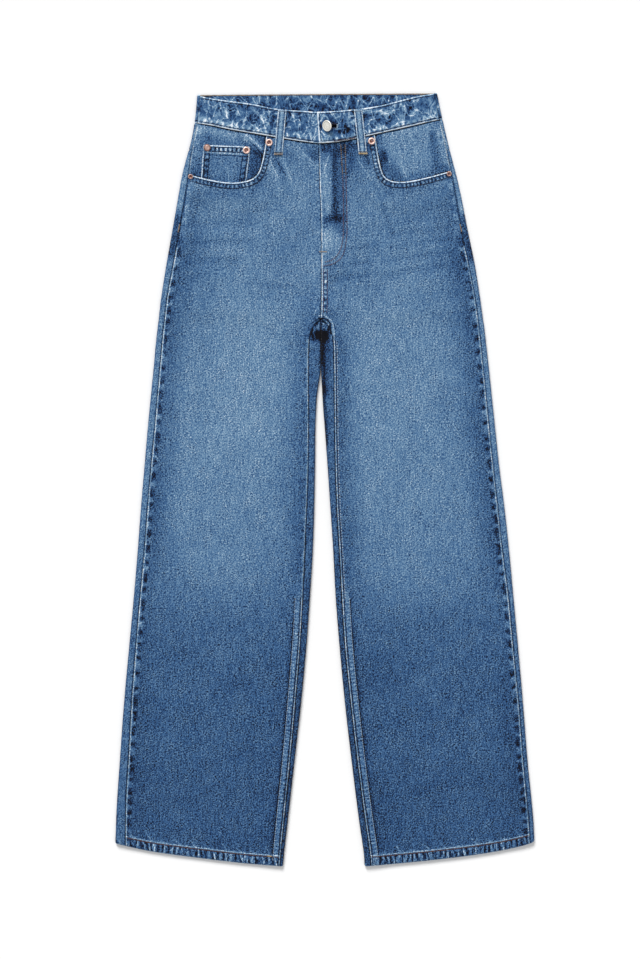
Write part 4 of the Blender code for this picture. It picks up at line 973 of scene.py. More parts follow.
def build_front(leg, panel):
    """A front leg panel, from the pocket mouth and waist seam down to its turned hem."""
    out = leg.outward
    mouth = np.array(sorted(leg.mouth.tolist()))
    inner_end = leg.mouth[-1][0]

    def edges(y):
        """The panel's left and right edges."""
        outer = leg.side_seam(np.minimum(y, leg.mouth[0][1])) - out * SEAM_GAP
        centre = front_centre(np.maximum(y, CROTCH_END)) - (SEAM_GAP if out < 0.0 else 0.0)
        inner = np.where(y > CROTCH_END, centre, leg.inseam(y) + out * SEAM_GAP)
        return np.minimum(outer, inner), np.maximum(outer, inner)

    def top_at(x):
        """The panel's upper edge, along the waist seam or the pocket mouth."""
        return np.where((x - inner_end) * out < 0.0, panel_top(x), np.interp(x, mouth[:, 0], mouth[:, 1]))

    def lay(column, row):
        level, depth = turned_hem(np.minimum(row, TOP_START))
        y = level
        share = np.maximum(row - TOP_START, 0.0)
        for again in range(4):
            left, right = edges(y)
            x = left + (right - left) * column
            if again < 3:
                # Rows above the mouth's split crowd together towards the panel's top edge.
                top = top_at(x)
                near = np.minimum(2.8 / np.maximum(top - MOUTH_SPLIT_Y, 1.0), 0.35)
                crowded = share * near + (1.0 - (1.0 - share) ** 1.6) * (1.0 - near)
                y = np.where(share > 0.0, MOUTH_SPLIT_Y + (top - MOUTH_SPLIT_Y) * crowded, level)
        laid = panel.lay(x, y)
        return {**laid, "z": laid["z"] - depth, "cloth": (x, y - 2.0 * depth)}

    left, right = edges(MOUTH_SPLIT_Y)
    steep = sorted((inner_end - out * 2.0, inner_end + out * 16.0))
    across = spaced((left, 0.5), (left + 2.5, 1.2), (left + 13.0, 2.0), (left + 20.0, 2.9),
                    (steep[0] - 5.0, 2.9), (steep[0], 1.0), (steep[1], 1.0), (steep[1] + 5.0, 2.9),
                    (right - 20.0, 2.9), (right - 13.0, 2.0), (right - 2.5, 1.2), (right, 0.5))
    down = spaced((0.0, 0.5), (3.0, 1.5), (16.0, 1.8), (40.0, 3.2), (730.0, 3.2), (755.0, 1.5), (795.0, 1.5),
                  (815.0, 3.0), (TOP_START, 3.0))
    rows = np.concatenate((HEM_ROWS, down, TOP_START + np.arange(1, TOP_ROWS + 1) / TOP_ROWS))
    cloth_piece("front_" + leg.name, (across - left) / (right - left), rows, lay, (0.24, 1.06), 0.215)


def back_path(leg, column, level):
    """Where a wrapped back piece lies: column counts its five stretches from the side seam.

    They are the lap at the side seam, the outer fold, the underside, the inner fold, and
    the lap at the inseam, which the seat doesn't have.
    """
    out = leg.outward
    radius = EDGE_HEIGHT / 2.0
    stretch = np.clip(np.floor(column), 0.0, 4.0).astype(int)
    share = column - stretch
    seam = leg.side_seam(level)
    fold = leg.outer_fold(level)
    edge = leg.inner_fold(level)
    curl = curl_at(level)
    turn = curl * math.pi
    closed = fade(curl, 0.7, 1.0)
    tail = 0.7
    hook = np.where(curl < 0.99, tail * np.maximum(np.cos(turn), 0.0), 0.0)
    bend = edge + out * (radius * np.sin(np.minimum(turn, math.pi / 2.0)) + hook)
    start = fold - out * radius
    full = np.maximum((leg.inseam(np.minimum(level, 221.5)) - bend) * out, 0.5)
    end = tail + (full - tail) * closed
    angle = np.choose(stretch, (turn, math.pi * share, turn, turn * share, turn))
    sine = radius * np.sin(angle)
    cosine = radius * np.cos(angle)
    x = np.choose(stretch, (seam + (start - seam) * share, start + out * sine, start + (bend - start) * share,
                            bend - out * sine, bend - out * sine - out * np.cos(turn) * share * end))
    z = np.choose(stretch, (0.0, radius + cosine, 0.0, radius - cosine,
                            radius - cosine + np.sin(turn) * share * tail * (1.0 - closed)))
    arc = math.pi * radius
    lap = np.abs(start - seam)
    flat = lap + arc + np.abs(bend - start)
    curled = flat + turn * radius
    travel = np.choose(stretch, (lap * share, lap + arc * share, lap + arc + (flat - lap - arc) * share,
                                 flat + turn * radius * share, curled + share * end))
    side = np.choose(stretch, (0.0, out * np.sin(angle), 0.0, -out * np.sin(angle), -out * np.sin(angle)))
    rise = np.choose(stretch, (1.0, np.cos(angle), -1.0, -np.cos(angle), -np.cos(angle)))
    across = np.clip((x - fold) / (edge - fold), 0.0, 1.0)
    return stretch, share, x, z, side, rise, travel, curled + end, closed, across


# The seam marks of back pieces: at the side seam and inseam, then at the other two edges. Their
# edges below zero are painted shade in the seams' gaps.
BACK_MARKS = {"pitch": 17.0, "teeth": 0.05, "edge": -0.34, "inner": -0.36, "rise": 0.30, "drawn": 0.45}
YOKE_MARKS = {"pitch": 13.0, "teeth": 0.08, "edge": 0.15, "inner": 0.0, "rise": 0.20, "drawn": 0.3}
CUT_MARKS = {"teeth": 0.10, "edge": 0.05, "rise": 0.25, "drawn": 0.3}
HEM_MARKS = {"teeth": 0.20, "edge": 0.30, "rise": 0.25, "drawn": 0.6}


def build_wrapped(name, leg, rows, centre_of, limits, given, laps, flat, area):
    """A back piece that wraps round a leg's edges, between two limits: upper, then lower."""
    hemmed = limits[1] == HEM_LEVEL

    def lay(column, row):
        level, depth = turned_hem(row) if hemmed else (row, 0.0)
        stretch, share, x, z, side, rise, travel, total, closed, across = back_path(leg, column, level)
        y = level + (centre_of(level) - level) * across
        face = upper_face(leg, x, y)
        z = z + seat_lift(leg, x, y)
        z = np.choose(stretch, (face, z, z, z, z + (face - z) * fade(share * closed, 0.0, 0.25)))
        inner_reach = np.where(closed > 0.5, total - travel, FAR)
        on_side = travel < inner_reach
        found = {"reach": np.minimum(travel, inner_reach), "teeth": given["teeth"], "rise": given["rise"],
                 "wave": level / given["pitch"] + np.where(on_side, 0.3, 0.0), "drawn": given["drawn"],
                 "edge": np.where(on_side, given["edge"], given["inner"])}
        for limit, marks in zip(limits, (CUT_MARKS, HEM_MARKS if hemmed else CUT_MARKS)):
            found = closer_marks(found, {**marks, "reach": np.abs(level - limit), "wave": x / 11.0})
        under = stretch == 2
        hollow = 0.25 + ridges(UNDER_CREASES, x, y) + 0.3 * bell(found["reach"], 0.0, 3.0)
        hollow = hollow * fade(np.minimum(share, 1.0 - share), 0.0, 0.04)
        outward = np.where(under, -hollow, relief(found) * (rise >= -0.2)) - depth
        # Painted shade on the narrow strips: darker where the folds turn away from above, and in the crotch's
        # hollow and down the slit between the legs through the seam patches.
        strip_and_fold_shade = np.where(stretch < 2, 0.13 * fade(y, 330.0, 390.0) + 0.02, -0.18) + 0.9 * level_wash(y)
        strip_and_fold_shade = strip_and_fold_shade + 0.11 * fade(y, -100.0, -300.0) - 0.30 * side ** 2 + ridges(SEAM_WEAR_AND_SHADE, x, y)
        line, tone = nearest_line(CROTCH_LINES, x, y)
        return {**found, "x": x + side * outward, "y": y, "z": z + rise * outward,
                "wash": np.where(under, leg_wash(leg, x, y) - 0.03, strip_and_fold_shade), "line": line,
                "tone": tone * (stretch == 4), "cloth": (travel * leg.outward, y - 2.0 * depth)}

    under = spaced((2.0, 0.010), (2.06, 0.022), (2.94, 0.022), (3.0, 0.010))
    columns = np.concatenate((np.linspace(0.0, 1.0, 7)[:-1], np.linspace(1.0, 2.0, 9)[:-1], under[:-1],
                              np.linspace(3.0, 4.0, 9)[:-1], np.linspace(4.0, 5.0, 13)[:laps]))
    if leg.outward < 0.0:
        columns = columns[::-1]
    cloth_piece(name, columns, rows, lay, flat, area, finishes=BACK_DENIM)


def build_back(leg):
    """A back leg panel: under the leg, and round both its edges up to the seams that show."""
    centre = gentle_line(((380, 380), (399, 392), (434.5, 414), (459, 432), (YOKE_SIDE_Y, YOKE_CENTRE_Y)))
    top = YOKE_SIDE_Y - SEAM_GAP
    reach = top - HEM_LEVEL - HEM_RADIUS
    down = spaced((0.0, 0.5), (3.0, 1.6), (14.0, 2.6), (40.0, 4.2), (715.0, 4.2), (745.0, 1.5), (795.0, 1.5),
                  (825.0, 4.2), (reach - 6.0, 4.2), (reach, 0.8))
    build_wrapped("back_" + leg.name, leg, np.concatenate((HEM_ROWS, down)),
                  lambda y: np.where(y > 380.0, centre(y), y), (top, HEM_LEVEL), BACK_MARKS, 13,
                  (0.31, 1.04), 0.275)


def build_yoke(leg):
    """A back yoke, which shows at the side between the waistband and the back panel."""
    waist = float(back_seam(leg.outer_fold(508.5))) - SEAM_GAP
    centre = float(back_seam(BACK_CENTRE)) - SEAM_GAP
    centre_of = gentle_line(((YOKE_SIDE_Y, YOKE_CENTRE_Y), (483.5, 470.0), (waist, centre)))
    rows = spaced((YOKE_SIDE_Y, 0.8), (YOKE_SIDE_Y + 4.0, 2.2), (waist - 4.0, 2.2), (waist, 0.8))
    build_wrapped("yoke_" + leg.name, leg, rows, centre_of, (waist, YOKE_SIDE_Y), YOKE_MARKS, 3,
                  (0.20, 0.075), 0.0125)


def build_back_band():
    """The back waistband, folded round both sides; its inner face shows in the waist's opening."""
    radius = BAND_EDGE_HEIGHT / 2.0
    strokes = [(0.50, (row[:2], row[2:])) for row in BACK_BAND_STROKES]

    def half_lay(leg, column, row):
        """One half: under the waist, round the side and the lap at its end."""
        out = leg.outward
        _, low, high = BACK_WAIST[0 if out < 0.0 else -1]
        level = low + (high - low) * row
        start = leg.outer_fold(level) - out * radius
        share = np.abs(column)
        angle = np.clip(share - 2.0, 0.0, 1.0) * math.pi
        lap = 0.6 * np.clip(share - 3.0, 0.0, 1.0)
        flat = np.clip(share, 0.0, 2.0) / 2.0
        x = BACK_CENTRE + (start - BACK_CENTRE) * flat + out * radius * np.sin(angle) - out * lap
        z = radius - radius * np.cos(angle) + seat_lift(leg, x, level)
        travel = out * (np.abs(start - BACK_CENTRE) * flat + radius * angle + lap)
        return np.array((x, z, out * np.sin(angle), -np.cos(angle), travel))

    def lay(column, row):
        halves = (half_lay(LEFT, column, row), half_lay(RIGHT, column, row))
        x, z, side, rise, travel = np.where(column < 0.0, *halves)
        y = back_seam(x) + row * (back_top(x) - back_seam(x))
        under = rise < -0.9
        found = {"reach": np.minimum(row, 1.0 - row) * 40.0, "wave": travel / 9.0, "rise": 0.1, "drawn": 0.5,
                 "teeth": np.where(row > 0.5, 0.06, 0.10), "row": np.where(under, NO_ROW, 2.9),
                 "edge": np.where(under, -0.05, np.where(row > 0.5, 0.65, 0.95))}
        lumps = 0.35 * np.sin(travel / 4.1 + 2.0 * np.sin(travel / 17.0)) * np.sin(math.pi * row)
        outward = np.where(under, -0.15 - 0.4 * np.abs(lumps), relief(found) * 0.6)
        wash = np.where(under, 0.22 + 0.10 * fade(back_top(x) - y, 22.0, 9.0), 0.46)
        line, tone = nearest_line(strokes, x, y)
        return {**found, "x": x + side * outward, "y": y, "z": z + rise * outward, "wash": wash,
                "line": line, "tone": tone, "cloth": (travel, y)}

    half = np.concatenate((np.linspace(0.0, 2.0, 112)[1:-1], np.linspace(2.0, 3.0, 10)[:-1],
                           np.linspace(3.0, 4.0, 3)))
    columns = np.concatenate((half[::-1], [0.0], -half))
    rows = spaced((0.0, 0.014), (0.08, 0.045), (0.92, 0.045), (1.0, 0.014))
    cloth_piece("waistband_back", columns, rows, lay, (0.38, 0.042), 0.0152, BAND_DENIM,
                BAND_WALL - 0.1)


# The front waistband lies in ridges: across at the foot, lean, height.
BAND_LUMPS = ((-170, 9, 0.3), (-152, -12, 0.35), (-131, 10, 0.3), (-112, 14, -0.3), (-92, -9, 0.35),
              (-40, 11, 0.3), (-22, -8, 0.25), (32, 9, 0.3), (66, -14, 0.35), (84, 12, -0.25),
              (103, -12, 0.35), (127, 14, 0.3), (146, -10, 0.35))


def band_panel(leg, start, end):
    """A front waistband piece between two slanting ends: each gives its foot and its head across."""
    laps = leg.outward > 0.0
    first, last = (((foot, waist_seam(foot)), (head, waist_top(head))) for foot, head in (start, end))
    seams = [Seam(line_across(waist_seam, start[0], end[0]), 8.0, 0.20, 1.0, 0.15, 0.55, 2.7),
             Seam(line_across(waist_top, start[1], end[1]), 9.0, 0.10, 0.68, 0.15, 0.35, 2.8),
             Seam(first, edge=0.95 if laps else 0.0, row=3.2 if laps else NO_ROW),
             Seam(last, edge=-0.15)]

    def wash(x, y):
        above = y - waist_seam(x)
        base = 0.485 + 0.05 * np.sin(x / 13.0 + 1.3 * np.sin(x / 31.0)) * np.sin(y / 8.0)
        base = base + 0.22 * fade(above, 12.0, 7.0) * fade(above, 2.0, 4.0) + ridges(BAND_PATCHES, x, y)
        # Painted shadow of each front loop: darker beside it on the band.
        for (_, top, foot), shade in zip(FRONT_LOOPS, (0.30, 0.26)):
            middle = foot[0] + (top[0] - foot[0]) * (y - foot[1]) / (top[1] - foot[1])
            base = base - shade * fade(np.abs(x - middle), 9.5, 6.5)
        if laps:
            # Painted shadow round the button.
            return base - 0.20 * fade(np.hypot(x - BUTTON_PLACE[0], y - BUTTON_PLACE[1]), 12.0, 8.0)
        # Painted shade where this band end shows through the buttonhole's slot.
        return base + spot((12.5, BUTTON_PLACE[1], math.sqrt(30.0), -0.8), x, y)

    lumps = [(x, 488.0, x + lean, 545.0, 5.0, size, 0.0) for x, lean, size in BAND_LUMPS]
    return Panel(lambda x, y: band_face(leg, x, y), seams, wash, lumps, BAND_LINES)


def build_front_band(name, panel, start, end, slot_hole=False):
    """A front waistband piece; the buttonhole end has its slot cut through."""
    def lay(column, row):
        foot = start[0] + (end[0] - start[0]) * column
        head = start[1] + (end[1] - start[1]) * column
        x = foot + (head - foot) * row
        return panel.lay(x, waist_seam(x) + row * (waist_top(x) - waist_seam(x)))

    width = end[0] - start[0]
    stops = [(0.0, 0.5), (2.5, 2.0), (width - 2.5, 2.0), (width, 0.5)]
    if slot_hole:
        hole = (SLOT_ENDS[0] - SLOT_HALF - 3.0 - start[0], SLOT_ENDS[1] + SLOT_HALF + 3.0 - start[0])
        stops[2:2] = [(hole[0], 0.8), (hole[1], 0.8), (hole[1] + 2.5, 2.0)]
    rows = spaced((0.0, 0.012), (0.06, 0.045), (0.35, 0.045), (0.42, 0.018), (0.6, 0.018), (0.66, 0.045),
                  (0.94, 0.045), (1.0, 0.012))
    piece = cloth_piece(name, spaced(*stops) / width, rows, lay, (width * MM + 0.004, 0.046),
                        width * MM * 0.044, BAND_DENIM, wall=BAND_WALL - 0.1)
    if slot_hole:
        cut_slot(piece.data)


def cut_slot(data):
    """Cut the buttonhole out of the band and round off the cut."""
    def from_middle(point):
        """From the nearest place on the slot's middle line."""
        middle = min(max(point.x, SLOT_ENDS[0] * MM), SLOT_ENDS[1] * MM)
        return Vector((point.x - middle, point.y - (BUTTON_PLACE[1] - MIDDLE_Y) * MM))

    mesh = bmesh.new()
    mesh.from_mesh(data)
    gone = [face for face in mesh.faces if from_middle(face.calc_center_median()).length < SLOT_HALF * MM]
    bmesh.ops.delete(mesh, geom=gone, context="FACES")
    for vertex in mesh.verts:
        out = from_middle(vertex.co)
        if vertex.is_boundary and 1.0e-6 < out.length < (SLOT_HALF + 1.2) * MM:
            moved = out.normalized() * SLOT_HALF * MM - out
            vertex.co += Vector((moved.x, moved.y, -0.3 * MM))
    mesh.to_mesh(data)
    mesh.free()


# The folds of each facing, in the form of CREASES, and its single creases. The dark rows without
# height just beside the mouths, under where they gape, are painted shadow of the standing edge.
LEFT_FOLDS = ((-112, 490, -88, 470, 4, 0.9, 0.14), (-122, 486, -90, 460, 3.5, -0.7, -0.26),
              (-178, 500, -183, 460, 3, 0.3, 0.12), (-170, 497, -166, 486, 3, 0, -0.14),
              (-100, 462, -104, 436, 7, 0, -0.15), (-180, 500, -112, 486, 8, 0, 0.28),
              (-112, 486, -94, 476, 6, 0, 0.14))
RIGHT_FOLDS = ((95, 488, 88, 450, 5, 0.4, 0.07), (110, 452, 118, 432, 3, 0.3, 0.10),
               (160, 502, 172, 455, 3, 0.3, 0.12), (84, 466, 87, 458, 5, 0, -0.45),
               (85, 452, 102, 436, 9, 0, -0.22), (152, 492, 161, 446, 4.5, 0, -0.22),
               (120, 478, 138, 462, 26, 0, 0.06), (98, 492, 150, 503, 6, 0, 0.08))
FACING_LINES = ((0.28, ((-107, 487.5), (-97, 479), (-89.5, 470))),
                (-0.40, ((-112.5, 486.5), (-99, 475), (-89, 461.5))),
                (0.25, ((90.5, 467), (92.5, 452))), (0.25, ((110.5, 447.5), (116, 432))))


def facing_panel(leg, base, folds):
    """The denim inside a front pocket's mouth."""
    side = line_down(lambda level: leg.side_seam(level) - leg.outward * 0.4, 430.0, 507.0, 8.5)
    seams = [Seam(side, 16.0, 0.06, 0.50, 0.2, 0.35),
             # Painted shadow under the waistband's edge: the facing's top edge is painted dark.
             Seam(line_across(panel_top, side[-1][0], leg.hidden_edge[0][0]), 9.0, 0.08, -0.75, 0.0, 0.4),
             # Painted shadow along the mouth's edge, where it lies on the facing.
             Seam(leg.mouth, edge=-0.55)]

    def wash(x, y):
        shade = 0.07 * fade(np.abs(x - leg.side_seam(y)), 10.0, 4.0) - 0.10 * fade(x, 146.0, 156.0)
        # Darker towards the mouth: painted shadow of the mouth's edge on the facing.
        return base + shade - 0.20 * fade(nearest(leg.mouth, x, y)[0], 16.0, 0.0) + ridges(folds, x, y)

    return Panel(lambda x, y: upper_face(leg, x, y), seams, wash, folds, FACING_LINES)


def build_facing(leg, panel):
    """The facing from its hidden lower edge up to the waist seam."""
    hidden = np.array(sorted(leg.hidden_edge[1:].tolist()))

    def lay(column, row):
        y = 450.0
        for _ in range(4):
            side = leg.side_seam(np.maximum(y, 420.0)) - leg.outward * 0.4
            left, right = np.minimum(side, leg.hidden_edge[1][0]), np.maximum(side, leg.hidden_edge[1][0])
            x = left + (right - left) * column
            low = np.interp(x, hidden[:, 0], hidden[:, 1])
            y = low + row * (panel_top(x) - low)
        return panel.lay(x, y)

    rows = np.append(np.linspace(0.0, 0.94, 40), (0.96, 0.98, 0.99, 1.0))
    cloth_piece("pocket_facing_" + leg.name, np.linspace(0.0, 1.0, 56), rows, lay, (0.14, 0.11), 0.0108)


# The coin pocket's stripes and its single creases; the dark line just below the doubled top is painted
# shadow of its edge.
COIN_STRIPES = ((-168.5, 458, -172.5, 415, 3.6, 0, -0.26), (-113, 458, -119.5, 415, 3.4, 0, -0.20),
                (-150, 455, -153, 425, 3, 0.3, 0.07), (-140, 450, -137, 424, 2.6, 0.3, 0.08),
                (-125, 455, -127, 428, 3, -0.2, -0.08), (-131, 456, -129, 428, 2.4, 0.2, 0.08))
COIN_LINES = ((0.45, ((-170, 466.2), (-140, 465), (-110, 463))),
              (-0.35, ((-168, 463.4), (-140, 462.2), (-110, 460.2))),
              (0.20, ((-144, 447), (-137, 440), (-137, 424))), (0.20, ((-127.5, 456), (-126, 437))))
LOW_LEFT, LOW_RIGHT, HIGH_RIGHT, HIGH_LEFT = np.array(COIN_CORNERS, float)


def coin_panel():
    """The coin pocket, with its doubled top edge."""
    seams = [Seam((HIGH_LEFT, HIGH_RIGHT), 6.1, 0.50, 0.80, 0.35, 0.35, 2.6, 8.6),
             Seam((LOW_LEFT, HIGH_LEFT), 9.0, 0.26, 0.62, 0.15, 0.3, 3.0, 9.6),
             Seam((LOW_RIGHT, HIGH_RIGHT), 9.0, 0.22, 0.66, 0.15, 0.3, 3.0, 9.6)]
    return Panel(lambda x, y: upper_face(LEFT, x, y) + LAYER, seams,
                 lambda x, y: 0.48 - 0.12 * fade(y, 440.0, 425.0) + ridges(COIN_STRIPES, x, y),
                 COIN_STRIPES, COIN_LINES)


def build_coin_pocket(panel):
    """The coin pocket between its four corners."""
    def lay(column, row):
        foot = LOW_LEFT + np.outer(column, LOW_RIGHT - LOW_LEFT)
        head = HIGH_LEFT + np.outer(column, HIGH_RIGHT - HIGH_LEFT)
        return panel.lay(*(foot + (head - foot) * row[:, None]).T)

    cloth_piece("coin_pocket", spaced((0.0, 0.008), (0.04, 0.022), (0.96, 0.022), (1.0, 0.008)),
                spaced((0.0, 0.04), (0.7, 0.025), (0.95, 0.018), (1.0, 0.008)), lay, (0.070, 0.066), 0.00425)


def build_fly_shield():
    """The shield behind the fly, which the front's edge hides."""
    def lay(column, row):
        y = 303.0 + row * (477.0 - 303.0)
        left = front_centre(y) + SEAM_GAP
        right = np.interp(y, (303.0, 311.0, 325.0, 345.0, 400.0, 480.0), (6.0, 20.0, 30.0, 35.0, 36.0, 31.0))
        x = left + (right - left) * column
        y = np.where(row > 0.999, panel_top(x), y)
        return {"x": x, "y": y, "z": upper_face(RIGHT, x, y), "cloth": (x, y), "wash": 0.38, "reach": 30.0}

    cloth_piece("fly_shield", np.linspace(0.0, 1.0, 17), np.linspace(0.0, 1.0, 61), lay, (0.042, 0.177),
                0.0066)


LEFT_FRONT = front_panel(LEFT)
RIGHT_FRONT = front_panel(RIGHT)
FRONTS = ((LEFT, LEFT_FRONT), (RIGHT, RIGHT_FRONT))
BAND_RADIUS = BAND_EDGE_HEIGHT / 2.0 + 0.6 + SEAM_GAP
LEFT_BAND_ENDS = ((-186.0 + BAND_RADIUS, -182.0 + BAND_RADIUS), (UNDER_END_X, UNDER_END_X))
RIGHT_BAND_ENDS = ((FRONT_CENTRE[1][1], FRONT_CENTRE[0][1]), (167.6 - BAND_RADIUS, 160.6 - BAND_RADIUS))
LEFT_BAND = band_panel(LEFT, *LEFT_BAND_ENDS)
RIGHT_BAND = band_panel(RIGHT, *RIGHT_BAND_ENDS)
COIN_POCKET = coin_panel()

for side, panel in FRONTS:
    build_front(side, panel)
for side in (LEFT, RIGHT):
    build_back(side)
    build_yoke(side)
build_back_band()
build_front_band("waistband_front_left", LEFT_BAND, *LEFT_BAND_ENDS)
build_front_band("waistband_front_right", RIGHT_BAND, *RIGHT_BAND_ENDS, slot_hole=True)
build_facing(LEFT, facing_panel(LEFT, 0.41, LEFT_FOLDS))
build_facing(RIGHT, facing_panel(RIGHT, 0.58, RIGHT_FOLDS))
build_coin_pocket(COIN_POCKET)
build_fly_shield()


# ---------------------------------------------------------------- belt loops and back pockets

def loop_face(leg, x, y):
    """Upper face of a front loop, from the panel onto the waistband."""
    panel = front_face(leg, x, y)
    onto = fade(y, waist_seam(x) - 10.0, waist_seam(x) - 1.5)
    return panel + (band_face(leg, x, y) - panel) * onto + SEAM_GAP + LOOP_WALL


def build_front_loop(name, leg, top, foot):
    """A front belt loop: a narrow folded strip, sewn down at the top and at the foot."""
    length = top[1] - foot[1]

    def lay(column, row):
        across = foot[0] + (top[0] - foot[0]) * row + column * LOOP_HALF
        level = foot[1] + length * row
        reach = LOOP_HALF * (1.0 - np.abs(column))
        ridge = 0.30 * bell(reach, 0.9, 0.8) + 0.25 * bell(column, 0.0, 0.35)
        tucks = 0.12 * np.sin(level / 1.9 + 0.8 * np.sin(level / 5.0))
        ends = np.minimum(row, 1.0 - row) * length
        z = loop_face(leg, across, level) + ridge + tucks + 0.15
        z = z - 0.7 * fade(reach, 1.0, 0.0) - 0.5 * fade(ends, 1.6, 0.0)
        wash = 0.63 + 0.16 * bell(column, 0.0, 0.3) - 0.20 * fade(ends, 3.0, 0.0) * (row < 0.5)
        return {"x": across, "y": level, "z": z, "cloth": (across, level), "wash": wash, "reach": reach,
                "edge": 0.62, "wave": level / 8.0, "teeth": 0.05, "row": 2.4}

    cloth_piece(name, np.linspace(-1.0, 1.0, 23),
                spaced((0.0, 0.008), (0.05, 0.022), (0.95, 0.022), (1.0, 0.008)), lay, (0.024, 0.07), 0.0009,
                LOOP_DENIM, wall=LOOP_WALL - 0.1)


def build_back_loop(name, middle):
    """A back belt loop, on the underside."""
    high = float(back_top(middle))
    low = float(back_seam(middle)) - BACK_LOOP_FOOT

    def lay(column, row):
        across = middle + LOOP_HALF * column
        y = low + (high - low) * row
        reach = LOOP_HALF * (1.0 - np.abs(column))
        z = 0.35 * fade(reach, 1.2, 0.0) + 0.2 * bell(reach, 2.2, 0.8)
        return {"x": across, "y": y, "z": z, "cloth": (across, y), "reach": reach,
                "wash": 0.56 - 0.2 * bell(reach, 2.2, 0.8), "edge": 0.3}

    cloth_piece(name, np.linspace(1.0, -1.0, 15), np.linspace(0.0, 1.0, 30), lay, (0.024, 0.07), 0.00085,
                LOOP_DENIM, SEAT_LIFT - SEAM_GAP - 0.1)


def build_back_pocket(name, start):
    """A back patch pocket with a pointed foot, on the underside."""
    def lay(column, row):
        foot = POCKET_LOW_Y - POCKET_POINT * (1.0 - np.abs(2.0 * column - 1.0))
        y = foot + (POCKET_TOP_Y - foot) * row
        taper = POCKET_TAPER * np.clip((POCKET_TOP_Y - y) / (POCKET_TOP_Y - POCKET_LOW_Y), 0.0, 1.0)
        x = start + taper + (POCKET_WIDTH - 2.0 * taper) * column
        sides = np.minimum(x - start - taper, start + POCKET_WIDTH - taper - x)
        reach = np.minimum(np.minimum(sides, y - foot), POCKET_TOP_Y - y)
        z = 0.35 * fade(reach, 1.3, 0.0) + 0.2 * fade(np.abs(reach - 4.0), 3.0, 0.0)
        z = z + 0.3 * bell(x - start + 0.4 * (y - 340.0), 60.0, 16.0) * fade(reach, 2.0, 20.0)
        return {"x": x, "y": y, "z": z, "cloth": (x, y), "wash": 0.56, "reach": reach, "edge": 0.3,
                "teeth": 0.09, "wave": (x + y) / 13.0}

    cloth_piece(name, spaced((0.0, 0.008), (0.04, 0.022), (0.96, 0.022), (1.0, 0.008))[::-1],
                spaced((0.0, 0.007), (0.04, 0.02), (0.96, 0.02), (1.0, 0.007)), lay, (0.16, 0.18), 0.0205,
                BACK_DENIM, SEAT_LIFT - SEAM_GAP - 0.5)


for (name, top, foot), side in zip(FRONT_LOOPS, (LEFT, RIGHT)):
    build_front_loop(name, side, top, foot)
for name, middle in BACK_LOOPS:
    build_back_loop(name, middle)
for name, start in BACK_POCKETS:
    build_back_pocket(name, start)


# ---------------------------------------------------------------- metal

# Turned profiles: radius, height and how tarnished the metal is there.
BUTTON_PROFILE = (
    (0, -5, 0.4), (SHANK_RADIUS, -5, 0.4), (SHANK_RADIUS, -0.3, 0.6), (7, -0.2, 0.5), (8.1, 0.1, 0.2),
    (8.55, 0.6, 0), (8.6, 1.1, 0), (8.35, 1.6, 0), (7.8, 1.95, 0), (7.1, 1.95, 0.05), (6.6, 1.7, 0.35),
    (6.3, 1.5, 0.5), (5.9, 1.5, 0.3), (4.4, 1.62, 0), (3, 1.68, 0), (2.6, 1.6, 0.2), (2.3, 1.6, 0.2),
    (1.9, 1.72, 0), (0, 1.75, 0))
RIVET_PROFILE = ((0, 0, 0), (4.8, 0, 0.3), (4.8, 0.35, 0.2), (4.55, 0.85, 0), (4.1, 1.2, 0), (3.4, 1.32, 0),
    (2.9, 1.15, 0.4), (2.5, 0.7, 1), (1.9, 0.4, 1), (1.3, 0.3, 1), (0.8, 0.4, 0.9), (0, 0.45, 0.8))

# One rivet has worn to a dull dome inside its rim, and those at the foot of a mouth are tarnished.
DOME_PROFILE = ((0, 0, 0.9), (4.8, 0, 0.9), (4.8, 0.35, 0.8), (4.5, 0.8, 0.8), (4.1, 0.7, 1), (3.8, 0.7, 1),
    (3.3, 1.05, 0.65), (2.4, 1.3, 0.58), (1.2, 1.4, 0.5), (0, 1.42, 0.5))
FOOT_PROFILE = tuple((radius, height, min(1.0, hollow + 0.55)) for radius, height, hollow in RIVET_PROFILE)


def turned_metal(name, profile, place, tilt, finish):
    """A turned piece of metal, leaning on its place."""
    mesh = bmesh.new()
    verts = [mesh.verts.new((radius, 0.0, height)) for radius, height, _ in profile]
    edges = [mesh.edges.new(pair) for pair in zip(verts, verts[1:])]
    bmesh.ops.spin(mesh, geom=verts + edges, axis=(0.0, 0.0, 1.0), cent=(0.0, 0.0, 0.0),
                   angle=math.tau, steps=40, use_merge=True)
    bmesh.ops.remove_doubles(mesh, verts=mesh.verts, dist=0.001)
    bmesh.ops.recalc_face_normals(mesh, faces=mesh.faces)
    hollow = []
    for vertex in mesh.verts:
        radius = vertex.co.xy.length
        match = min(profile, key=lambda row: (row[0] - radius) ** 2 + (row[1] - vertex.co.z) ** 2)
        hollow.append(match[2])
    bmesh.ops.transform(mesh, matrix=tilt, verts=mesh.verts)
    bmesh.ops.translate(mesh, verts=mesh.verts, vec=(place[0], place[1] - MIDDLE_Y, place[2]))
    bmesh.ops.scale(mesh, verts=mesh.verts, vec=(MM, MM, MM))
    data = bpy.data.meshes.new(name)
    mesh.to_mesh(data)
    mesh.free()
    data.attributes.new("hollow", "FLOAT", "POINT").data.foreach_set("value", hollow)
    data.shade_smooth()
    data.set_sharp_from_angle(angle=math.radians(50.0))
    data.materials.append(finish)
    piece = bpy.data.objects.new(name + "_metal", data)
    bpy.context.scene.collection.objects.link(piece)
    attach(piece, "root")
    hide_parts(name)


def highest(face, place, reach):
    """Highest point of a face under a round piece of metal."""
    angle = np.linspace(0.0, math.tau, 13)
    x = place[0] + np.append(reach * np.cos(angle), 0.0)
    y = place[1] + np.append(reach * np.sin(angle), 0.0)
    return float(np.max(face(x, y)))


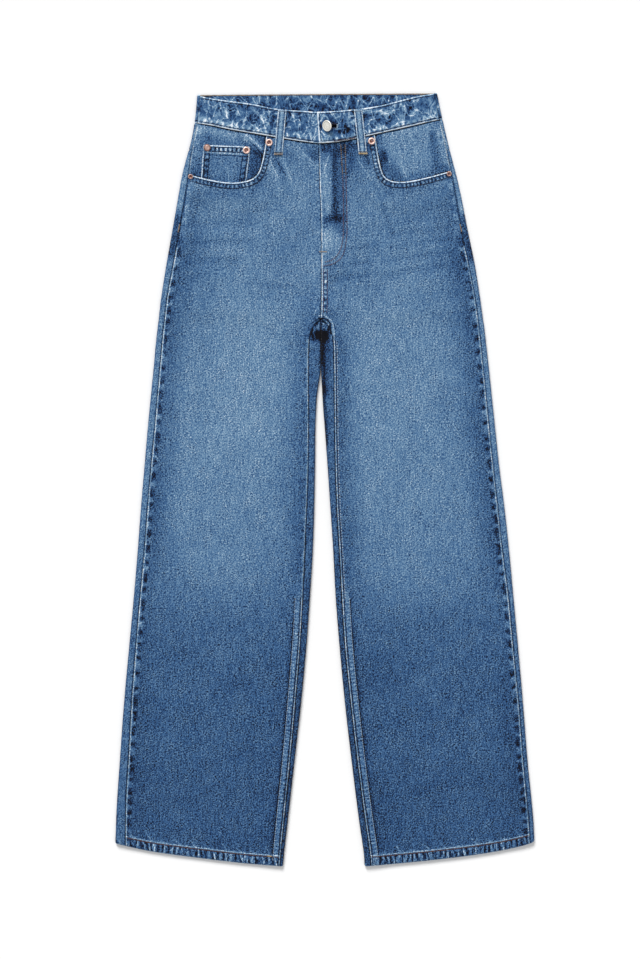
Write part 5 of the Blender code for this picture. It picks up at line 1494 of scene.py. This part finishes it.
def build_metal():
    """The leaning button and the six rivets."""
    lean = math.radians(BUTTON_LEAN)
    turn = Matrix.Rotation(math.radians(20.0), 4, "Z")
    tilt = turn @ Matrix.Rotation(-lean, 4, "Y") @ turn.inverted() @ Matrix.Scale(0.93, 4)
    lift = highest(RIGHT_BAND.face, BUTTON_PLACE, BUTTON_RADIUS)
    lift += SEAM_GAP + BUTTON_RADIUS * math.sin(lean) * 0.7
    turned_metal("button", BUTTON_PROFILE, (*BUTTON_PLACE, lift), tilt, PALE_METAL)
    for step, (name, place) in enumerate(RIVETS):
        panel = LEFT_FRONT if place[0] < 0.0 else RIGHT_FRONT
        ground = highest(COIN_POCKET.top if "coin" in name else panel.face, place, RIVET_RADIUS) + 0.45
        size, profile = (0.75, FOOT_PROFILE) if "foot" in name else (1.06, RIVET_PROFILE)
        if name == "rivet_coin_left":
            profile = DOME_PROFILE
        tilt = Matrix.Rotation(math.radians(4.0), 4, (math.cos(step * 2.3), math.sin(step * 2.3), 0.0))
        turned_metal(name, profile, (*place, ground), tilt @ Matrix.Diagonal((size, size, 1.0, 1.0)), COPPER)


# ---------------------------------------------------------------- sewing

def offset_line(line, away):
    """A line shifted to its left by a distance."""
    lean = np.gradient(line, axis=0)
    lean /= np.linalg.norm(lean, axis=1)[:, None]
    return line + across_of(lean) * away


def across_of(lean):
    """Directions turned a quarter to the left."""
    return np.column_stack((-lean[:, 1], lean[:, 0]))


def along_line(line, pitch):
    """Places at even steps along a line, with its direction at each."""
    line = np.asarray(line, float)
    run = np.append(0.0, np.cumsum(np.hypot(*np.diff(line, axis=0).T)))

    def point(at):
        return np.column_stack((np.interp(at, run, line[:, 0]), np.interp(at, run, line[:, 1])))

    at = np.arange(pitch / 2.0, run[-1], pitch)
    lean = point(at + 0.5) - point(at - 0.5)
    return point(at), lean / np.linalg.norm(lean, axis=1)[:, None]


def stitch_shape():
    """One stitch as points and faces: a small ellipsoid, drawn out along Z."""
    mesh = bmesh.new()
    bmesh.ops.create_uvsphere(mesh, u_segments=6, v_segments=4, radius=0.5)
    points = np.array([vertex.co for vertex in mesh.verts])
    faces = [[vertex.index for vertex in face.verts] for face in mesh.faces]
    mesh.free()
    return points, faces


STITCH_POINTS, STITCH_FACES = stitch_shape()


class Sewing:
    """All the stitches of one thread, joined into one piece from an array of places."""

    def __init__(self, name, thread=None):
        self.name = "stitches_" + name
        self.thread = THREADS[thread or name]
        self.points = []

    def stitches(self, place, lean, face, length, thick, sunk):
        """One stitch at each place, lying along its direction on the face."""
        low, high = (to_frame(*end.T, face(*end.T) + sunk)
                     for end in (place - lean * length / 2.0, place + lean * length / 2.0))
        along = high - low
        flat = np.cross(along, (0.0, 0.0, 1.0))
        flat *= thick * MM / np.linalg.norm(flat, axis=1)[:, None]
        up = np.cross(flat, along)
        up *= thick * MM / np.linalg.norm(up, axis=1)[:, None]
        frames = np.stack((flat, up, along), axis=1)
        self.points.append((STITCH_POINTS @ frames + ((low + high) / 2.0)[:, None, :]).reshape(-1, 3))

    def row(self, line, face, pitch=STITCH_PITCH, length=STITCH_LENGTH, thick=STITCH_THICK, sunk=0.05):
        """Stitches in a row."""
        self.stitches(*along_line(line, pitch), face, length, thick, sunk)

    def bar(self, middle, reach, face, width=2.0):
        """A bar tack: close stitches across a short line, from its middle to each end."""
        place, lean = along_line(np.add(middle, (np.negative(reach), reach)), 0.75)
        self.stitches(place, across_of(lean), face, width, 0.75, 0.2)

    def finish(self):
        """The piece with all the stitches."""
        points = np.vstack(self.points)
        faces = [[index + start for index in face] for start in range(0, len(points), len(STITCH_POINTS))
                 for face in STITCH_FACES]
        data = bpy.data.meshes.new(self.name)
        data.from_pydata(points, [], faces)
        data.shade_smooth()
        data.materials.append(self.thread)
        piece = bpy.data.objects.new(self.name, data)
        bpy.context.scene.collection.objects.link(piece)
        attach(piece, "root")


TAN, STONE, PLUM, DARK, RUST, PALE, GOLD = (
    Sewing(name) for name in ("tan", "stone", "plum", "dark", "rust", "pale", "gold"))
UNDER = Sewing("under", "tan")

# The two rows of stitching round the fly.
FLY_OUTER_ROW = ((29.2, 478), (30.4, 423), (31.8, 362), (30.4, 339), (25.4, 319), (13.2, 308), (-2.5, 304))
FLY_INNER_ROW = ((22.7, 478), (26, 423), (26.6, 362), (25.6, 341), (21, 324.5), (11.5, 313.5), (-1, 309.5))


def sew_hems():
    """One row on each hem, above and below."""
    level = HEM_LEVEL + HEM_DEPTH + 0.8
    for leg, panel in FRONTS:
        low, high = sorted((float(leg.side_seam(level)), float(leg.inseam(level))))
        RUST.row(((low + 1.5, level), (high - 1.5, level)), panel.top, length=3.3, thick=1.9, sunk=-0.2)
        low, high = sorted((float(leg.outer_fold(level)) - leg.outward * 9.0,
                            float(leg.inner_fold(level)) + leg.outward * 9.0))
        RUST.row(((low, level), (high, level)), flat_face(0.3), length=2.9)


def sew_pockets():
    """Two rows along each mouth and the coin pocket's top, and one down each of its sides."""
    for leg, panel in FRONTS:
        for away in (2.7, 8.3):
            line = offset_line(leg.mouth, leg.outward * away)
            line = line[line[:, 1] < waist_seam(line[:, 0]) - 2.0][1:]
            DARK.row(line, panel.top, pitch=3.0, length=2.3, sunk=0.1)
    down = (LOW_LEFT - HIGH_LEFT) / np.linalg.norm(LOW_LEFT - HIGH_LEFT)
    for away in (2.8, 8.8):
        DARK.row((HIGH_LEFT + down * away, HIGH_RIGHT + down * away), COIN_POCKET.top, pitch=3.0, length=2.3)
    for high, low, over in ((HIGH_LEFT, LOW_LEFT, (3.0, 0.0)), (HIGH_RIGHT, LOW_RIGHT, (-3.0, 0.0))):
        DARK.row((high + over + down * 11.0, low + over), COIN_POCKET.top, pitch=3.6)


def sew_fly():
    """The curved rows of the fly, heavier above, and the rows of the crotch seam."""
    for row in (FLY_OUTER_ROW, FLY_INNER_ROW):
        curve = smooth_curve(row)
        STONE.row(curve[curve[:, 1] > 429.0], RIGHT_FRONT.top, pitch=2.75, length=2.2, thick=2.1, sunk=0.3)
        PLUM.row(curve[curve[:, 1] < 435.0], RIGHT_FRONT.top, pitch=2.9, length=2.2, thick=1.8, sunk=0.2)
    levels = np.linspace(300.0, 236.0, 12)
    for away in (2.8, 8.0):
        line = np.column_stack((front_centre(levels) + away, levels))
        PLUM.row(line, RIGHT_FRONT.top, pitch=3.0, thick=1.1)


def sew_waist():
    """The rows round the front waistband, and the edge of the tape along the back one."""
    foot, head = RIGHT_BAND_ENDS[0]
    for panel, start, end in ((LEFT_BAND, LEFT_BAND_ENDS[0], (-12.5, -12.5)),
                              (RIGHT_BAND, (foot, head), RIGHT_BAND_ENDS[1])):
        for place, (edge, away) in enumerate(((waist_seam, 2.9), (waist_top, -2.8))):
            line = line_across(lambda x: edge(x) + away, start[place] + 2.0, end[place] - 2.0)
            DARK.row(line, panel.top, length=2.9, thick=0.8, sunk=-0.1)
    line = ((foot + 3.2, float(waist_seam(foot)) + 3.0), (head + 3.2, float(waist_top(head)) - 3.0))
    DARK.row(line, RIGHT_BAND.top)
    line = line_across(lambda x: waist_seam(x) + 1.1, 13.0, 43.0)
    RUST.row(line, RIGHT_BAND.top, pitch=2.6, length=2.8, thick=1.5)
    line = line_across(lambda x: back_top(x) - 0.9, -178.0, 161.0)
    TAN.row(line, flat_face(BAND_WALL + SEAT_LIFT - 0.2), pitch=2.6, length=3.4, thick=2.2)


def sew_inseams():
    """A dark row beside each inseam, and a pale one below the knee."""
    for leg, panel in FRONTS:
        out = leg.outward
        start = 206.0 if out > 0.0 else -160.0
        line = line_down(lambda level: leg.inseam(level) + out * 3.0, start, -545.0)
        DARK.row(line, panel.top, pitch=3.6, thick=0.7, sunk=-0.1)
        line = line_down(lambda level: leg.inseam(level) + out * 10.4, -170.0, -545.0)
        PALE.row(line, panel.top, pitch=3.4, length=2.9)
    line = line_down(lambda level: RIGHT.inseam(level) + 4.6, 196.0, -170.0)
    PALE.row(line, RIGHT_FRONT.top, pitch=4.0, length=2.8, thick=1.2)


def sew_tacks():
    """The tacks and rows of the front loops, and the tacks of the fly, side seams and hem."""
    for (name, top, foot), leg in zip(FRONT_LOOPS, (LEFT, RIGHT)):
        def loop_top(x, y):
            return loop_face(leg, x, y) + 0.2

        sewing = GOLD if leg.outward > 0.0 else TAN
        sewing.bar((foot[0], foot[1] + 1.6), (6.2, 0.0), loop_top, 2.8)
        DARK.bar((foot[0], foot[1] + 4.0), (6.0, 0.0), loop_top, 1.6)
        PALE.bar((top[0], top[1] - 1.8), (6.0, 0.0), loop_top, 2.2)
        for over in (-3.4, 3.4):
            line = ((foot[0] + over, foot[1] + 6.0), (top[0] + over, top[1] - 4.0))
            DARK.row(line, loop_top, pitch=2.8, length=2.2, thick=0.7, sunk=-0.1)
    TAN.bar((-2.25, 324.5), (5.75, 0.0), RIGHT_FRONT.top)
    TAN.bar((-208.3, 358.25), (-1.1, -5.75), LEFT_FRONT.top)
    TAN.bar((194.3, 358.5), (1.3, -5.5), RIGHT_FRONT.top)
    GOLD.bar((-79.0, -540.0), (3.5, 0.0), LEFT_FRONT.top)


def sew_buttonhole():
    """Close stitches round the slot of the buttonhole."""
    steps = np.linspace(0.0, math.pi, 7)
    right, left = (np.column_stack((end + size * np.sin(steps), BUTTON_PLACE[1] + size * np.cos(steps)))
                   for end, size in ((SLOT_ENDS[1], 3.0), (SLOT_ENDS[0], -3.0)))
    place, lean = along_line(np.vstack((right, left, right[:1])), 0.85)
    lean = across_of(lean)
    tip = place[:, 0] > SLOT_ENDS[1] + 1.6
    PALE.stitches(place[tip], lean[tip], RIGHT_BAND.top, 2.1, 0.8, 0.1)
    DARK.stitches(place[~tip], lean[~tip], RIGHT_BAND.top, 1.9, 0.7, 0.1)


def sew_underside():
    """Rows on the underside: yokes, seat seam and back pockets."""
    lifted = flat_face(SEAT_LIFT + 0.2)
    for leg in (LEFT, RIGHT):
        side = float(leg.outer_fold(YOKE_SIDE_Y)) - leg.outward * 30.0
        for away in (-2.5, -8.0):
            centre = (BACK_CENTRE + leg.outward * 4.0, YOKE_CENTRE_Y + away)
            UNDER.row(((side, YOKE_SIDE_Y - 4.5 + away), centre), lifted)
        seat = BACK_CENTRE + leg.outward * 2.6
        UNDER.row(((seat, 425.0), (seat, 262.0)), lifted)
    for _, start in BACK_POCKETS:
        end = start + POCKET_WIDTH
        for away in (2.5, 8.0):
            low = POCKET_LOW_Y + away * 0.4
            line = ((start + away, POCKET_TOP_Y - 3.0), (start + POCKET_TAPER + away, low),
                    (start + POCKET_WIDTH / 2.0, POCKET_LOW_Y - POCKET_POINT + away),
                    (end - POCKET_TAPER - away, low), (end - away, POCKET_TOP_Y - 3.0))
            UNDER.row(line, flat_face(0.3))
        UNDER.row(((start + 2.0, POCKET_TOP_Y - 12.0), (end - 2.0, POCKET_TOP_Y - 12.0)), flat_face(0.3))


build_metal()
for sew in (sew_hems, sew_pockets, sew_fly, sew_waist, sew_inseams, sew_tacks, sew_buttonhole, sew_underside):
    sew()
for sewing in (TAN, STONE, PLUM, DARK, RUST, PALE, GOLD, UNDER):
    sewing.finish()


# ---------------------------------------------------------------- studio

VIEW_WIDE = 1.3714
VIEW_MIDDLE = (-0.0068, 0.0005)
CAMERA_HEIGHT = 4.0
SENSOR = 36.0
FLOOR_LEVEL = -0.0002
SKY_STRENGTH = 0.46

# Name, place, width in degrees and power of each light.
LIGHTS = (("key", (-0.45, 1.5, 1.15), 24.0, 3.0), ("fill", (0.8, -0.9, 2.2), 40.0, 0.5))


def build_studio():
    """Camera straight above, a pale floor, and soft light that comes mostly from the waist's side."""
    scene = bpy.context.scene
    lens = bpy.data.cameras.new("camera")
    lens.sensor_width = SENSOR
    lens.lens = SENSOR * CAMERA_HEIGHT / VIEW_WIDE
    camera = bpy.data.objects.new("camera", lens)
    camera.location = (*VIEW_MIDDLE, CAMERA_HEIGHT)
    scene.collection.objects.link(camera)
    scene.camera = camera

    mesh = bmesh.new()
    bmesh.ops.create_grid(mesh, x_segments=1, y_segments=1, size=6.0)
    bmesh.ops.translate(mesh, verts=mesh.verts, vec=(0.0, 0.0, FLOOR_LEVEL))
    data = bpy.data.meshes.new("floor")
    mesh.to_mesh(data)
    mesh.free()
    material, tree, shader = new_finish("floor")
    feed(tree, shader, {"Base Color": (0.885, 0.885, 0.885, 1.0), "Roughness": 1.0,
                        "Specular IOR Level": 0.0})
    data.materials.append(material)
    floor = bpy.data.objects.new("floor", data)
    scene.collection.objects.link(floor)

    scene.world = bpy.data.worlds.new("studio")
    scene.world.use_nodes = True
    sky = scene.world.node_tree.nodes["Background"]
    feed(scene.world.node_tree, sky, {"Color": (1.0, 1.0, 1.0, 1.0), "Strength": SKY_STRENGTH})

    for name, place, width, power in LIGHTS:
        light = bpy.data.lights.new(name, "SUN")
        light.angle = math.radians(width)
        light.energy = power
        lamp = bpy.data.objects.new(name, light)
        lamp.location = place
        lamp.rotation_euler = (-Vector(place)).to_track_quat("-Z", "Y").to_euler()
        scene.collection.objects.link(lamp)


build_studio()
bpy.context.scene.view_settings.view_transform = "Standard"
